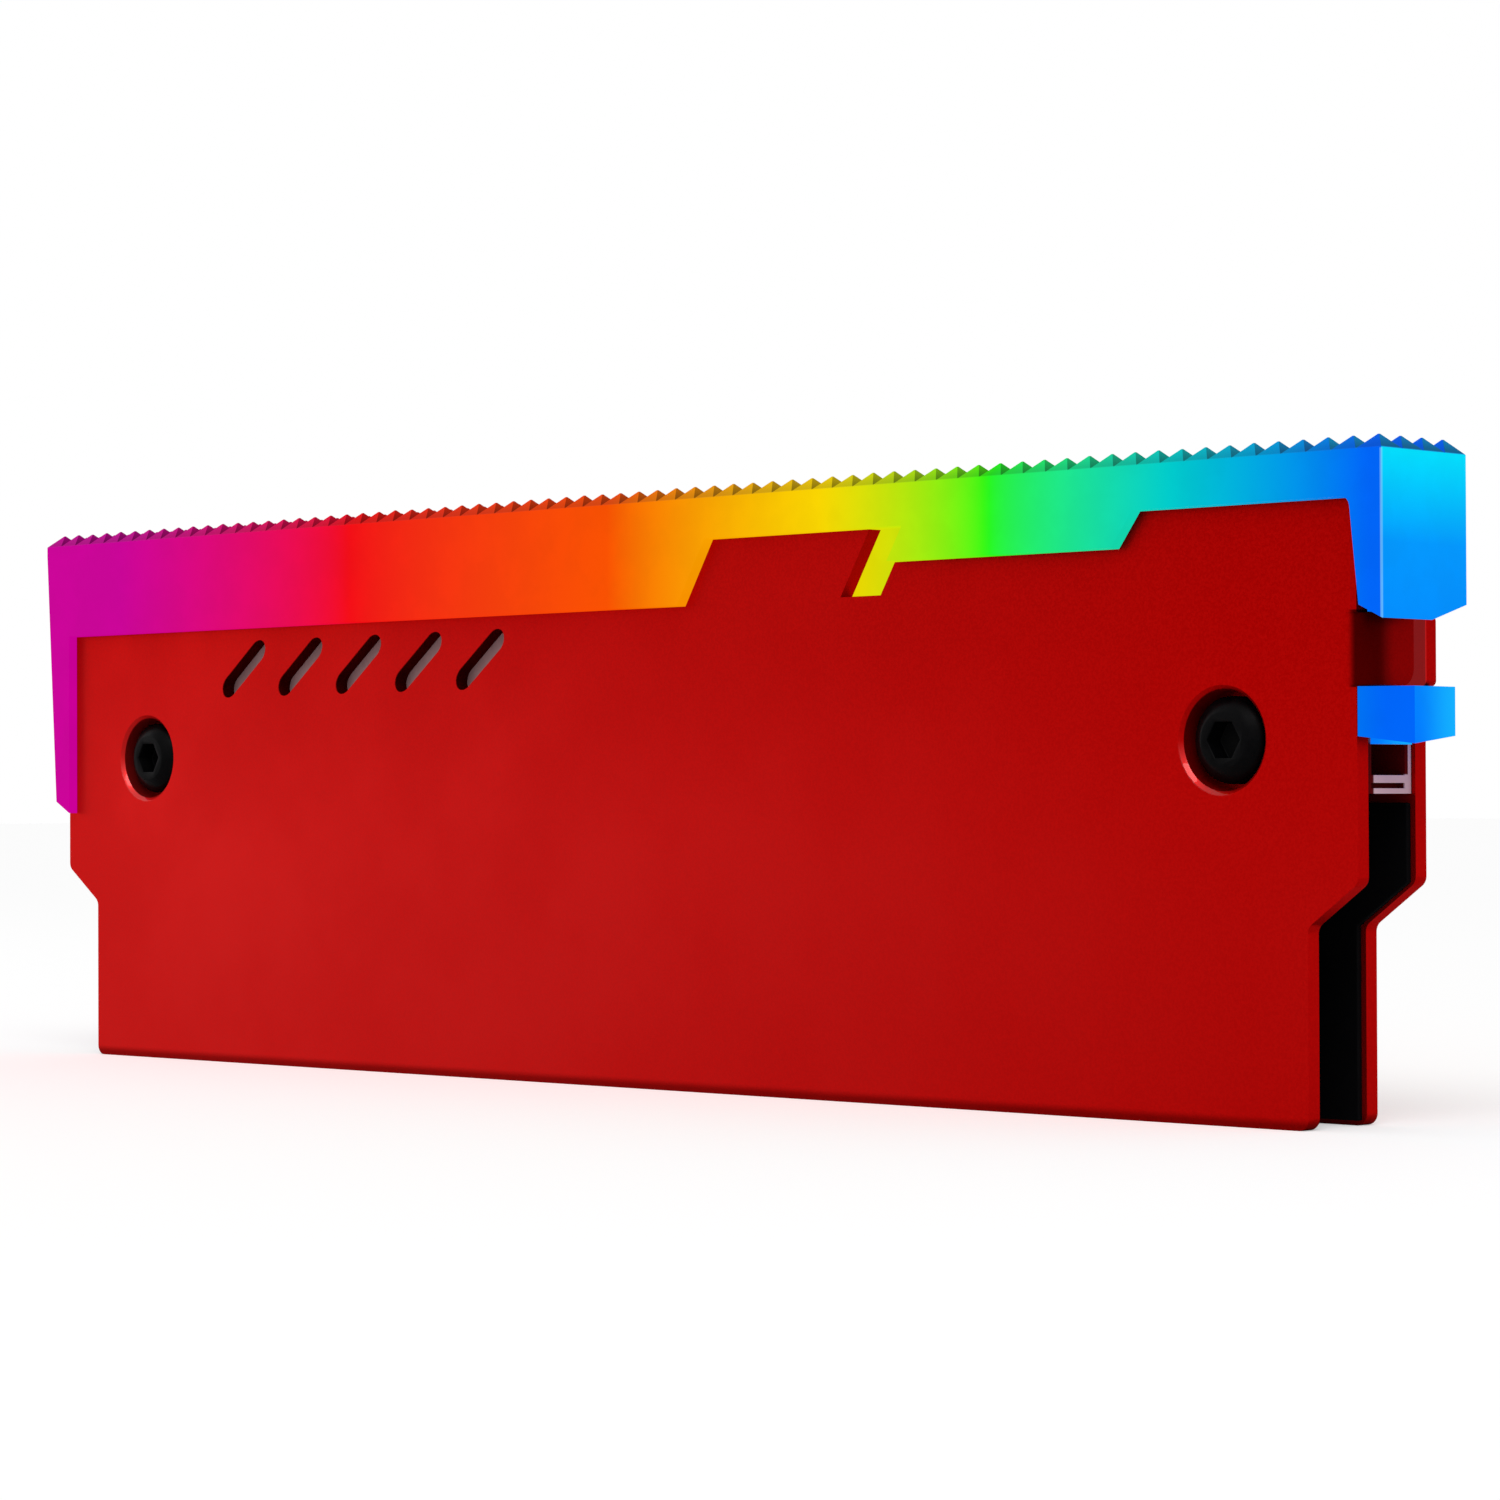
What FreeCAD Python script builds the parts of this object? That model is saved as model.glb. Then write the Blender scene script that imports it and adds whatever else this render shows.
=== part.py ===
"""Ram heat spreader: two stamped aluminium plates held together by two screws.

A memory module slides up between the plates. Between their upper parts sits a moulded
light bar, lit by a small board inside it, with a top of small pyramids.
X runs along the length, Y through the thickness and Z up. The front face looks to -Y.
The origin is under the middle, on the surface that the plate edges stand on.
All lengths are millimetres.
"""
import FreeCAD, Part
import math
import os

Vector = FreeCAD.Vector

# Plates
PLATE_LENGTH = 137.0
PLATE_THICKNESS = 1.2
PLATE_GAP = 5.2
SHOULDER_STEP = 4.0
SHOULDER_TOP = 16.1
SHOULDER_FOOT = 13.2
BOTTOM_CORNER_RADIUS = 0.8
TOP_CORNER_RADIUS = 0.5

# Stepped top edge of the plates
LEFT_DROP = 7.9
CREST_DROP = 3.05
MIDDLE_DROP = 5.5
NOTCH_DROP = 7.8
NOTCH_WIDTH = 3.9
CREST_START = 10.4
CREST_END = 26.1
RIGHT_CREST_START = 50.8
STEP_LEAN = 0.6
RIGHT_STEP_LEAN = 0.75

# Slanted vents
VENT_COUNT = 5
VENT_PITCH = 7.3
VENT_FIRST = -46.3
VENT_DROP = 5.6
VENT_RISE = 4.3
VENT_LEAN_DEGREES = 44.5
VENT_WIDTH = 1.8

# Locking ears at the right end
EAR_BOTTOM = 28.9
EAR_TOP = 33.55
EAR_REACH = 0.85
EAR_CORNER_RADIUS = 0.4
BEND_INNER_RADIUS = 0.7
TAB_CLEARANCE = 1.3
TAB_CORNER_RADIUS = 1.2

# Screws, bosses and threaded standoffs
SCREW_INSET = 10.9
SCREW_HEIGHT = 25.5
SCREW_RADIUS = 1.5
SCREW_LENGTH = 3.8
SCREW_TIP_CHAMFER = 0.3
HEAD_RADIUS = 2.85
HEAD_HEIGHT = 3.0
HEAD_RIM = 2.3
HEAD_CROWN_RADIUS = 1.9
SOCKET_ACROSS_FLATS = 2.4
SOCKET_DEPTH = 1.5
COUNTERBORE_RADIUS = 3.4
COUNTERBORE_DEPTH = 3.1
COUNTERBORE_CHAMFER = 0.25
BOSS_WALL = 0.7
SEAT_THICKNESS = 1.0
SCREW_HOLE_CLEARANCE = 0.1
THREAD_CLEARANCE = 0.05
STANDOFF_RADIUS = 2.6
STANDOFF_SHANK_RADIUS = 2.1
STANDOFF_CAP = 0.4

# Light bar
BAR_HEIGHT = 44.0
BAR_THICKNESS = 9.4
LEFT_CAP_REACH = 2.0
RIGHT_CAP_REACH = 2.65
CAP_BOTTOM = 33.1
CAP_SLOPE_RISE = 0.9
CAP_RELIEF_RISE = 1.1
CAP_RELIEF_INSET = 3.9
SEAM = 0.05
WEB_BOTTOM = 30.0
WEB_OVERLAP = 1.0
LUG_BOTTOM = 21.9
LUG_HALF_WIDTH = 6.5
LUG_END_GAP = 0.3
BOSS_CLEARANCE = 0.15
WINDOW_GAP = 0.1
BLOCK_REACH = 3.4
BLOCK_THICKNESS = 4.5
BLOCK_BOTTOM = 25.1
BLOCK_TOP = 28.8
BLOCK_ROOT = 7.0
BLOCK_SLOPE_RISE = 0.5
BLOCK_RELIEF_RISE = 0.7
LEG_WRAP = 1.1
LEG_FOOT_REACH = 0.75
LEG_FOOT = 21.8
LEG_LOW = 20.8
POCKET_DEPTH = 3.2
POCKET_WALL = 0.7
POCKET_FLOOR = 23.1
GROOVE_DEPTH = 0.6
GROOVE_BOTTOM = 22.25
GROOVE_TOP = 22.6

# Pyramids on top of the bar
PYRAMID_PITCH = 2.0
PYRAMID_ROWS = 4
PYRAMID_HEIGHT = 1.0
PYRAMID_BASE = 0.8

# Channel for the lighting board
CHANNEL_HALF_WIDTH = 1.45
CHANNEL_DROP = 3.8
BOARD_SIDE_GAP = 0.1
BOARD_END_GAP = 0.2
BOARD_BOTTOM = 30.6
BOARD_THICKNESS = 1.0
BOARD_WIDTH = 3.6
BOARD_LUG_GAP = 1.0
CATCH_COUNT = 6
CATCH_LENGTH = 3.0
CATCH_NOSE = 0.25
CATCH_GAP = 0.05

# Lights and parts on the board
LIGHT_COUNT = 10
LIGHT_LENGTH = 2.2
LIGHT_WIDTH = 2.0
LIGHT_HEIGHT = 0.9
LIGHT_END_MARGIN = 2.8
CAPACITOR_LENGTH = 1.6
CAPACITOR_WIDTH = 0.8
CAPACITOR_HEIGHT = 0.8
CHIP_SIZE = 3.0
CHIP_HEIGHT = 0.85
POWER_SOCKET_PLACE = 18.0
POWER_SOCKET_LENGTH = 7.6
POWER_SOCKET_WIDTH = 2.8
POWER_SOCKET_HEIGHT = 4.6
CONTACT_COUNT = 3
CONTACT_PITCH = 2.5
CONTACT_RADIUS = 0.35
CONTACT_BOTTOM = 22.3

# Thermal pads
PAD_THICKNESS = 0.5
PAD_BOSS_GAP = 0.1
PAD_EDGE_INSET = 0.35

# Closer than this, two points of an outline are one
TOUCHING = 1e-6

# Places worked out from the sizes above
LEFT_HEIGHT = BAR_HEIGHT - LEFT_DROP
CREST_HEIGHT = BAR_HEIGHT - CREST_DROP
MIDDLE_HEIGHT = BAR_HEIGHT - MIDDLE_DROP
NOTCH_FLOOR = BAR_HEIGHT - NOTCH_DROP
VENT_BOTTOM = LEFT_HEIGHT - VENT_DROP
CHANNEL_TOP = BAR_HEIGHT - CHANNEL_DROP
PLATE_HALF = PLATE_LENGTH / 2
INNER_FACE = PLATE_GAP / 2
OUTER_FACE = INNER_FACE + PLATE_THICKNESS
SCREW_PLACE = PLATE_HALF - SCREW_INSET
SEAT_FACE = COUNTERBORE_DEPTH - OUTER_FACE
BOSS_END = SEAT_FACE + SEAT_THICKNESS
BOSS_RADIUS = COUNTERBORE_RADIUS + BOSS_WALL
PAD_TOP = SCREW_HEIGHT - BOSS_RADIUS - PAD_BOSS_GAP
LUG_INNER = SCREW_PLACE - LUG_HALF_WIDTH
BOARD_HALF = LUG_INNER - BOARD_LUG_GAP
BOARD_TOP = BOARD_BOTTOM + BOARD_THICKNESS
WEB_HALF = INNER_FACE - SEAM
NODES = {}


def box(x0, x1, y0, y1, z0, z1):
    """Return a block between two corners."""
    return Part.makeBox(x1 - x0, y1 - y0, z1 - z0, Vector(x0, y0, z0))


def cylinder(radius, x, z, y0, y1):
    """Return a round bar along Y."""
    return Part.makeCylinder(radius, y1 - y0, Vector(x, y0, z), Vector(0, 1, 0))


def corner_arc(before, corner, after, radius):
    """Return the start, middle and end of the arc that rounds one corner."""
    back = (before - corner).normalize()
    ahead = (after - corner).normalize()
    half_angle = back.getAngle(ahead) / 2
    run = radius / math.tan(half_angle)
    inward = (back + ahead).normalize()
    middle = corner + inward * (radius / math.sin(half_angle) - radius)
    return corner + back * run, middle, corner + ahead * run


def profile(corners, place):
    """Return a flat face from corners, each (u, v) or (u, v, radius), set in space by place."""
    points = [place(corner[0], corner[1]) for corner in corners]
    radii = [corner[2] if len(corner) > 2 else 0 for corner in corners]
    stops = []
    for index, radius in enumerate(radii):
        point = points[index]
        if radius:
            after = points[(index + 1) % len(points)]
            stops.append(corner_arc(points[index - 1], point, after, radius))
        else:
            stops.append((point, point, point))
    edges = []
    for index, (start, middle, end) in enumerate(stops):
        if start.distanceToPoint(stops[index - 1][2]) > TOUCHING:
            edges.append(Part.LineSegment(stops[index - 1][2], start).toShape())
        if radii[index]:
            edges.append(Part.Arc(start, middle, end).toShape())
    return Part.Face(Part.Wire(edges))


def prism_along_y(corners, y0, y1):
    """Return the solid of an outline in X and Z, between two places in Y."""
    return profile(corners, lambda u, v: Vector(u, y0, v)).extrude(Vector(0, y1 - y0, 0))


def prism_along_x(corners, x0, x1):
    """Return the solid of an outline in Y and Z, between two places in X."""
    return profile(corners, lambda u, v: Vector(x0, u, v)).extrude(Vector(x1 - x0, 0, 0))


def prism_along_z(corners, z0, z1):
    """Return the solid of an outline in X and Y, between two heights."""
    return profile(corners, lambda u, v: Vector(u, v, z0)).extrude(Vector(0, 0, z1 - z0))


def fused(first, others):
    """Return one solid made of several, without seams."""
    return first.fuse(others).removeSplitter()


def notch_right(height):
    """Return X of the notch's right side at a height."""
    start = CREST_END - STEP_LEAN * (CREST_HEIGHT - NOTCH_FLOOR) + NOTCH_WIDTH
    return start + STEP_LEAN * (height - NOTCH_FLOOR)


def crest_steps():
    """Return the steps of the plates' top edge, from the left level to the crest's right end."""
    foot = CREST_START - STEP_LEAN * (CREST_HEIGHT - LEFT_HEIGHT)
    return [(foot, LEFT_HEIGHT), (CREST_START, CREST_HEIGHT), (CREST_END, CREST_HEIGHT)]


def right_steps():
    """Return the steps of the plates' top edge to the right of the notch."""
    foot = RIGHT_CREST_START - RIGHT_STEP_LEAN * (CREST_HEIGHT - MIDDLE_HEIGHT)
    start = notch_right(MIDDLE_HEIGHT)
    return [(start, MIDDLE_HEIGHT), (foot, MIDDLE_HEIGHT), (RIGHT_CREST_START, CREST_HEIGHT)]


def lower_outline(inset, top, radius):
    """Return the plates' outline below a height as corners, the left side last."""
    upper = PLATE_HALF - inset
    lower = upper - SHOULDER_STEP
    shoulder = [(lower, SHOULDER_FOOT, radius), (upper, SHOULDER_TOP, radius)]
    right = [(lower, inset, radius)] + shoulder + [(upper, top)]
    left = [(-corner[0],) + corner[1:] for corner in reversed(right)]
    return right, left


def plate_outline(ear):
    """Return a plate's outline as corners, with or without the straight ear at the right end."""
    right, left = lower_outline(0, CREST_HEIGHT, BOTTOM_CORNER_RADIUS)
    if ear:
        tip = PLATE_HALF + EAR_REACH
        lower_ear = [(PLATE_HALF, EAR_BOTTOM), (tip, EAR_BOTTOM, EAR_CORNER_RADIUS)]
        upper_ear = [(tip, EAR_TOP, EAR_CORNER_RADIUS), (PLATE_HALF, EAR_TOP)]
        right[-1:-1] = lower_ear + upper_ear
    right[-1] = right[-1] + (TOP_CORNER_RADIUS,)
    left[0] = (-PLATE_HALF, LEFT_HEIGHT, TOP_CORNER_RADIUS)
    notch_left = CREST_END - STEP_LEAN * (CREST_HEIGHT - NOTCH_FLOOR)
    notch = [(notch_left, NOTCH_FLOOR), (notch_right(NOTCH_FLOOR), NOTCH_FLOOR)]
    steps = crest_steps() + notch + right_steps()
    return right + list(reversed(steps)) + left


def vent_cutter(index):
    """Return the slot that cuts one slanted vent through a plate."""
    lean = math.radians(VENT_LEAN_DEGREES)
    radius = VENT_WIDTH / 2
    length = (VENT_RISE - VENT_WIDTH) / math.cos(lean)
    ends = [cylinder(radius, 0, z, -OUTER_FACE, OUTER_FACE) for z in (0, length)]
    slot = box(-radius, radius, -OUTER_FACE, OUTER_FACE, 0, length).fuse(ends)
    slot.rotate(Vector(0, 0, 0), Vector(0, 1, 0), VENT_LEAN_DEGREES)
    slot.translate(Vector(VENT_FIRST + index * VENT_PITCH, 0, VENT_BOTTOM + radius))
    return slot


def vented(plate):
    """Return a plate with its row of vents cut."""
    return plate.cut([vent_cutter(index) for index in range(VENT_COUNT)])


def folded_tab():
    """Return the tab that folds from the front plate's end across the gap."""
    outer = BEND_INNER_RADIUS + PLATE_THICKNESS
    tip = PLATE_HALF + EAR_REACH
    free_end = INNER_FACE - TAB_CLEARANCE
    corners = [
        (tip - outer, -OUTER_FACE),
        (tip, -OUTER_FACE, outer),
        (tip, free_end),
        (tip - PLATE_THICKNESS, free_end),
        (tip - PLATE_THICKNESS, -INNER_FACE, BEND_INNER_RADIUS),
        (tip - outer, -INNER_FACE),
    ]
    tab = prism_along_z(corners, EAR_BOTTOM, EAR_TOP)
    face_corners = [
        (-OUTER_FACE, EAR_BOTTOM),
        (free_end, EAR_BOTTOM, TAB_CORNER_RADIUS),
        (free_end, EAR_TOP, EAR_CORNER_RADIUS),
        (-OUTER_FACE, EAR_TOP),
    ]
    return tab.common(prism_along_x(face_corners, tip - outer, tip))


def front_plate():
    """Return the front plate with its vents, folded tab and two screw bosses."""
    plate = vented(prism_along_y(plate_outline(False), -OUTER_FACE, -INNER_FACE))
    bend_start = PLATE_HALF + EAR_REACH - BEND_INNER_RADIUS - PLATE_THICKNESS
    plate = plate.cut(box(bend_start, PLATE_HALF, -OUTER_FACE, -INNER_FACE, EAR_BOTTOM, EAR_TOP))
    bosses = []
    cutters = []
    for x in (-SCREW_PLACE, SCREW_PLACE):
        bosses.append(cylinder(BOSS_RADIUS, x, SCREW_HEIGHT, -INNER_FACE, BOSS_END))
        cutters.append(cylinder(COUNTERBORE_RADIUS, x, SCREW_HEIGHT, -OUTER_FACE, SEAT_FACE))
        cutters.append(cylinder(SCREW_RADIUS + SCREW_HOLE_CLEARANCE, x, SCREW_HEIGHT, SEAT_FACE, BOSS_END))
        rim = COUNTERBORE_RADIUS + COUNTERBORE_CHAMFER
        start = Vector(x, -OUTER_FACE, SCREW_HEIGHT)
        cutters.append(Part.makeCone(rim, COUNTERBORE_RADIUS, COUNTERBORE_CHAMFER, start, Vector(0, 1, 0)))
    return fused(plate, bosses + [folded_tab()]).cut(cutters)


def rear_plate():
    """Return the rear plate with its vents, straight ear and the standoffs' holes."""
    plate = vented(prism_along_y(plate_outline(True), INNER_FACE, OUTER_FACE))
    holes = []
    for x in (-SCREW_PLACE, SCREW_PLACE):
        holes.append(cylinder(STANDOFF_SHANK_RADIUS, x, SCREW_HEIGHT, INNER_FACE, OUTER_FACE))
    return plate.cut(holes)


def standoff(x):
    """Return a threaded standoff pressed into the rear plate, closed at its outer end."""
    body = cylinder(STANDOFF_RADIUS, x, SCREW_HEIGHT, BOSS_END, INNER_FACE)
    shank = cylinder(STANDOFF_SHANK_RADIUS, x, SCREW_HEIGHT, INNER_FACE, OUTER_FACE)
    bore = cylinder(SCREW_RADIUS + THREAD_CLEARANCE, x, SCREW_HEIGHT, BOSS_END, OUTER_FACE - STANDOFF_CAP)
    return fused(body, [shank]).cut(bore)


def dome_arc(top, shoulder):
    """Return the round of a screw head from its flat crown to its rim, centred on the axis."""
    crown_square = HEAD_CROWN_RADIUS ** 2 + top ** 2
    rim_square = HEAD_RADIUS ** 2 + shoulder ** 2
    centre = (crown_square - rim_square) / (2 * (top - shoulder))
    radius = math.hypot(HEAD_RADIUS, shoulder - centre)
    crown_angle = math.atan2(top - centre, HEAD_CROWN_RADIUS)
    rim_angle = math.atan2(shoulder - centre, HEAD_RADIUS)
    middle = (crown_angle + rim_angle) / 2
    through = Vector(radius * math.cos(middle), centre + radius * math.sin(middle), 0)
    return Part.Arc(Vector(HEAD_CROWN_RADIUS, top, 0), through, Vector(HEAD_RADIUS, shoulder, 0)).toShape()


def screw(x):
    """Return a domed head screw with a hexagon socket, seated in the front plate's boss."""
    top = SEAT_FACE - HEAD_HEIGHT
    shoulder = SEAT_FACE - HEAD_RIM
    end = SEAT_FACE + SCREW_LENGTH
    run = [
        Vector(HEAD_RADIUS, shoulder, 0),
        Vector(HEAD_RADIUS, SEAT_FACE, 0),
        Vector(SCREW_RADIUS, SEAT_FACE, 0),
        Vector(SCREW_RADIUS, end - SCREW_TIP_CHAMFER, 0),
        Vector(SCREW_RADIUS - SCREW_TIP_CHAMFER, end, 0),
        Vector(0, end, 0),
        Vector(0, top, 0),
        Vector(HEAD_CROWN_RADIUS, top, 0),
    ]
    edges = [dome_arc(top, shoulder)]
    for start, stop in zip(run, run[1:]):
        edges.append(Part.LineSegment(start, stop).toShape())
    solid = Part.Face(Part.Wire(edges)).revolve(Vector(0, 0, 0), Vector(0, 1, 0), 360)
    corner_radius = SOCKET_ACROSS_FLATS / 2 / math.cos(math.radians(30))
    corners = []
    for step in range(6):
        angle = math.radians(60 * step)
        corners.append((corner_radius * math.cos(angle), corner_radius * math.sin(angle)))
    solid = solid.cut(prism_along_y(corners, top, top + SOCKET_DEPTH))
    solid.translate(Vector(x, 0, SCREW_HEIGHT))
    return solid


def sawtooth(start, end, count):
    """Return the corners of a toothed strip from start to end, as wide as the bar's top layer."""
    base = BAR_HEIGHT - PYRAMID_BASE
    pitch = (end - start) / count
    corners = [(start, base), (start, BAR_HEIGHT)]
    for index in range(count):
        corners.append((start + (index + 0.5) * pitch, BAR_HEIGHT + PYRAMID_HEIGHT))
        corners.append((start + (index + 1) * pitch, BAR_HEIGHT))
    corners.append((end, base))
    return corners


def pyramid_layer():
    """Return the bar's top layer: long teeth crossed with wide teeth leave rows of pyramids."""
    left = -PLATE_HALF - LEFT_CAP_REACH
    right = PLATE_HALF + RIGHT_CAP_REACH
    half = BAR_THICKNESS / 2
    along = prism_along_y(sawtooth(left, right, round((right - left) / PYRAMID_PITCH)), -half, half)
    across = prism_along_x(sawtooth(-half, half, PYRAMID_ROWS), left, right)
    return along.common(across)


def left_side(height):
    """Return X of the bar's left side at a height: it leans outward from its foot to its top."""
    lean = (LEFT_CAP_REACH - LEG_FOOT_REACH) / (BAR_HEIGHT - PYRAMID_BASE - LEG_FOOT)
    return -PLATE_HALF - LEG_FOOT_REACH - lean * (height - LEG_FOOT)


def bar_head():
    """Return the wide head, whose lower edge follows the plates' steps, with a cap at the right."""
    left = -PLATE_HALF - LEFT_CAP_REACH
    right = PLATE_HALF + RIGHT_CAP_REACH
    wall = PLATE_HALF + SEAM
    steps = crest_steps()[:2] + [(notch_right(CREST_HEIGHT), CREST_HEIGHT)] + right_steps()
    lower = [(x, z + SEAM) for x, z in steps]
    ends = [(wall, CREST_HEIGHT + SEAM), (wall, CAP_BOTTOM + CAP_SLOPE_RISE), (right, CAP_BOTTOM)]
    top = BAR_HEIGHT - PYRAMID_BASE
    foot = LEFT_HEIGHT + SEAM
    corners = [(left, top), (left_side(foot), foot)] + lower + ends + [(right, top)]
    half = BAR_THICKNESS / 2
    head = prism_along_y(corners, -half, half)
    relief = [
        (half - CAP_RELIEF_INSET, CAP_BOTTOM),
        (half, CAP_BOTTOM + CAP_RELIEF_RISE),
        (half, CAP_BOTTOM),
    ]
    return head.cut(prism_along_x(relief, PLATE_HALF, right))


def lug_slot(x):
    """Return the cutter that lets a lug straddle a screw boss, open downward."""
    radius = BOSS_RADIUS + BOSS_CLEARANCE
    slot = box(x - radius, x + radius, -WEB_HALF, WEB_HALF, LEG_LOW, SCREW_HEIGHT)
    return slot.fuse(cylinder(radius, x, SCREW_HEIGHT, -WEB_HALF, WEB_HALF))


def left_leg():
    """Return the leg that closes the left end and folds over the side edges of both plates."""
    half = BAR_THICKNESS / 2
    top = LEFT_HEIGHT + SEAM
    wall = -PLATE_HALF - SEAM
    inner = -PLATE_HALF + LEG_WRAP
    slot = OUTER_FACE + SEAM
    corners = [(inner, top), (left_side(top), top), (left_side(LEG_FOOT), LEG_FOOT), (inner, LEG_LOW)]
    cuts = [
        box(wall, inner, -slot, -WEB_HALF, LEG_LOW, top),
        box(wall, inner, WEB_HALF, slot, LEG_LOW, top),
        box(wall, inner, -WEB_HALF, WEB_HALF, LEG_LOW, LUG_BOTTOM),
    ]
    return prism_along_y(corners, -half, half).cut(cuts)


def right_block():
    """Return the tapered block that covers the plates' ends below the window, its underside cut away."""
    root = PLATE_HALF - LUG_END_GAP - BLOCK_ROOT
    end = PLATE_HALF + BLOCK_REACH
    half = BLOCK_THICKNESS / 2
    slope = [
        (PLATE_HALF, BLOCK_BOTTOM),
        (end, BLOCK_BOTTOM),
        (PLATE_HALF, BLOCK_BOTTOM + BLOCK_SLOPE_RISE),
    ]
    relief = [
        (-half, BLOCK_BOTTOM),
        (OUTER_FACE, BLOCK_BOTTOM),
        (OUTER_FACE, BLOCK_BOTTOM + BLOCK_RELIEF_RISE),
    ]
    start = PLATE_HALF + SEAM
    taper = [
        (start, -OUTER_FACE),
        (end, -half),
        (end, half),
        (start, OUTER_FACE),
    ]
    stem = box(root, end, -half, half, BLOCK_BOTTOM, BLOCK_TOP)
    head = prism_along_z(taper, BLOCK_BOTTOM, BLOCK_TOP)
    under = prism_along_y(slope, -OUTER_FACE, OUTER_FACE)
    return fused(stem, [head]).cut([under, prism_along_x(relief, PLATE_HALF, end)])


def board_channel():
    """Return the cutters for the board's seat and the light chamber above it."""
    end = BOARD_HALF + BOARD_END_GAP
    seat = BOARD_WIDTH / 2 + BOARD_SIDE_GAP
    chamber = box(-end, end, -CHANNEL_HALF_WIDTH, CHANNEL_HALF_WIDTH, WEB_BOTTOM, CHANNEL_TOP)
    return [chamber, box(-end, end, -seat, seat, WEB_BOTTOM, BOARD_TOP)]


def board_catches():
    """Return the small noses that hold the board up against its seat."""
    seat = BOARD_WIDTH / 2 + BOARD_SIDE_GAP
    pitch = 2 * BOARD_HALF / CATCH_COUNT
    half = CATCH_LENGTH / 2
    catches = []
    for index in range(CATCH_COUNT):
        x = (index + 0.5) * pitch - BOARD_HALF
        for side in (-1, 1):
            y0, y1 = sorted((side * WEB_HALF, side * (seat - CATCH_NOSE)))
            catches.append(box(x - half, x + half, y0, y1, WEB_BOTTOM, BOARD_BOTTOM - CATCH_GAP))
    return catches


def light_bar():
    """Return the moulded light bar: head, pyramids, web, lugs, right block and left leg."""
    web_end = PLATE_HALF + WEB_OVERLAP
    lug_end = PLATE_HALF - LUG_END_GAP
    web_top = CREST_HEIGHT + WEB_OVERLAP
    pieces = [
        pyramid_layer(),
        box(-web_end, web_end, -WEB_HALF, WEB_HALF, WEB_BOTTOM, web_top),
        box(LUG_INNER, lug_end, -WEB_HALF, WEB_HALF, LUG_BOTTOM, WEB_BOTTOM),
        box(-lug_end, -LUG_INNER, -WEB_HALF, WEB_HALF, LUG_BOTTOM, WEB_BOTTOM),
        left_leg(),
    ]
    bend_start = PLATE_HALF + EAR_REACH - BEND_INNER_RADIUS - PLATE_THICKNESS
    window_top = EAR_TOP + WINDOW_GAP
    window = box(bend_start - WINDOW_GAP, web_end, -WEB_HALF, WEB_HALF, BLOCK_TOP, window_top)
    pocket_half = WEB_HALF - POCKET_WALL
    pocket = box(lug_end - POCKET_DEPTH, lug_end, -pocket_half, pocket_half, POCKET_FLOOR, BLOCK_BOTTOM)
    groove = box(lug_end - GROOVE_DEPTH, lug_end, -pocket_half, pocket_half, GROOVE_BOTTOM, GROOVE_TOP)
    bar = bar_head().fuse(pieces).cut([window] + board_channel())
    bar = bar.fuse([right_block()] + board_catches())
    slots = [lug_slot(-SCREW_PLACE), lug_slot(SCREW_PLACE)]
    return bar.cut([pocket, groove] + slots).removeSplitter()


def thermal_pad(y0, y1):
    """Return the pad that lines one plate below the lugs."""
    right, left = lower_outline(PAD_EDGE_INSET, PAD_TOP, 0)
    return prism_along_y(right + left, y0, y1)


def light_place(index):
    """Return X of one light on the board."""
    first = -BOARD_HALF + LIGHT_END_MARGIN
    return first + index * (-2 * first) / (LIGHT_COUNT - 1)


def add_board_parts():
    """Add the lights and capacitors on top of the board and the chip and socket under it."""
    side = BOARD_WIDTH / 2
    NODES["led_board"] = box(-BOARD_HALF, BOARD_HALF, -side, side, BOARD_BOTTOM, BOARD_TOP)
    for index in range(LIGHT_COUNT):
        part = board_top_part(light_place(index), LIGHT_LENGTH, LIGHT_WIDTH, LIGHT_HEIGHT)
        NODES["led_%02d" % (index + 1)] = part
    for index in range(LIGHT_COUNT // 2):
        x = (light_place(2 * index) + light_place(2 * index + 1)) / 2
        part = board_top_part(x, CAPACITOR_LENGTH, CAPACITOR_WIDTH, CAPACITOR_HEIGHT)
        NODES["capacitor_%02d" % (index + 1)] = part
    half = CHIP_SIZE / 2
    NODES["control_chip"] = box(-half, half, -half, half, BOARD_BOTTOM - CHIP_HEIGHT, BOARD_BOTTOM)
    add_power_socket()


def board_top_part(x, length, width, height):
    """Return a block soldered on top of the board."""
    return box(x - length / 2, x + length / 2, -width / 2, width / 2, BOARD_TOP, BOARD_TOP + height)


def add_power_socket():
    """Add the socket that feeds the board from the module below, and its contact pins."""
    x0 = POWER_SOCKET_PLACE - POWER_SOCKET_LENGTH / 2
    half = POWER_SOCKET_WIDTH / 2
    bottom = BOARD_BOTTOM - POWER_SOCKET_HEIGHT
    housing = box(x0, x0 + POWER_SOCKET_LENGTH, -half, half, bottom, BOARD_BOTTOM)
    up = Vector(0, 0, 1)
    for index in range(CONTACT_COUNT):
        x = POWER_SOCKET_PLACE + (index - (CONTACT_COUNT - 1) / 2) * CONTACT_PITCH
        length = BOARD_BOTTOM - CONTACT_BOTTOM
        contact = Part.makeCylinder(CONTACT_RADIUS, length, Vector(x, 0, CONTACT_BOTTOM), up)
        housing = housing.cut(contact)
        NODES["socket_contact_%d" % (index + 1)] = contact
    NODES["power_socket"] = housing


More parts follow.
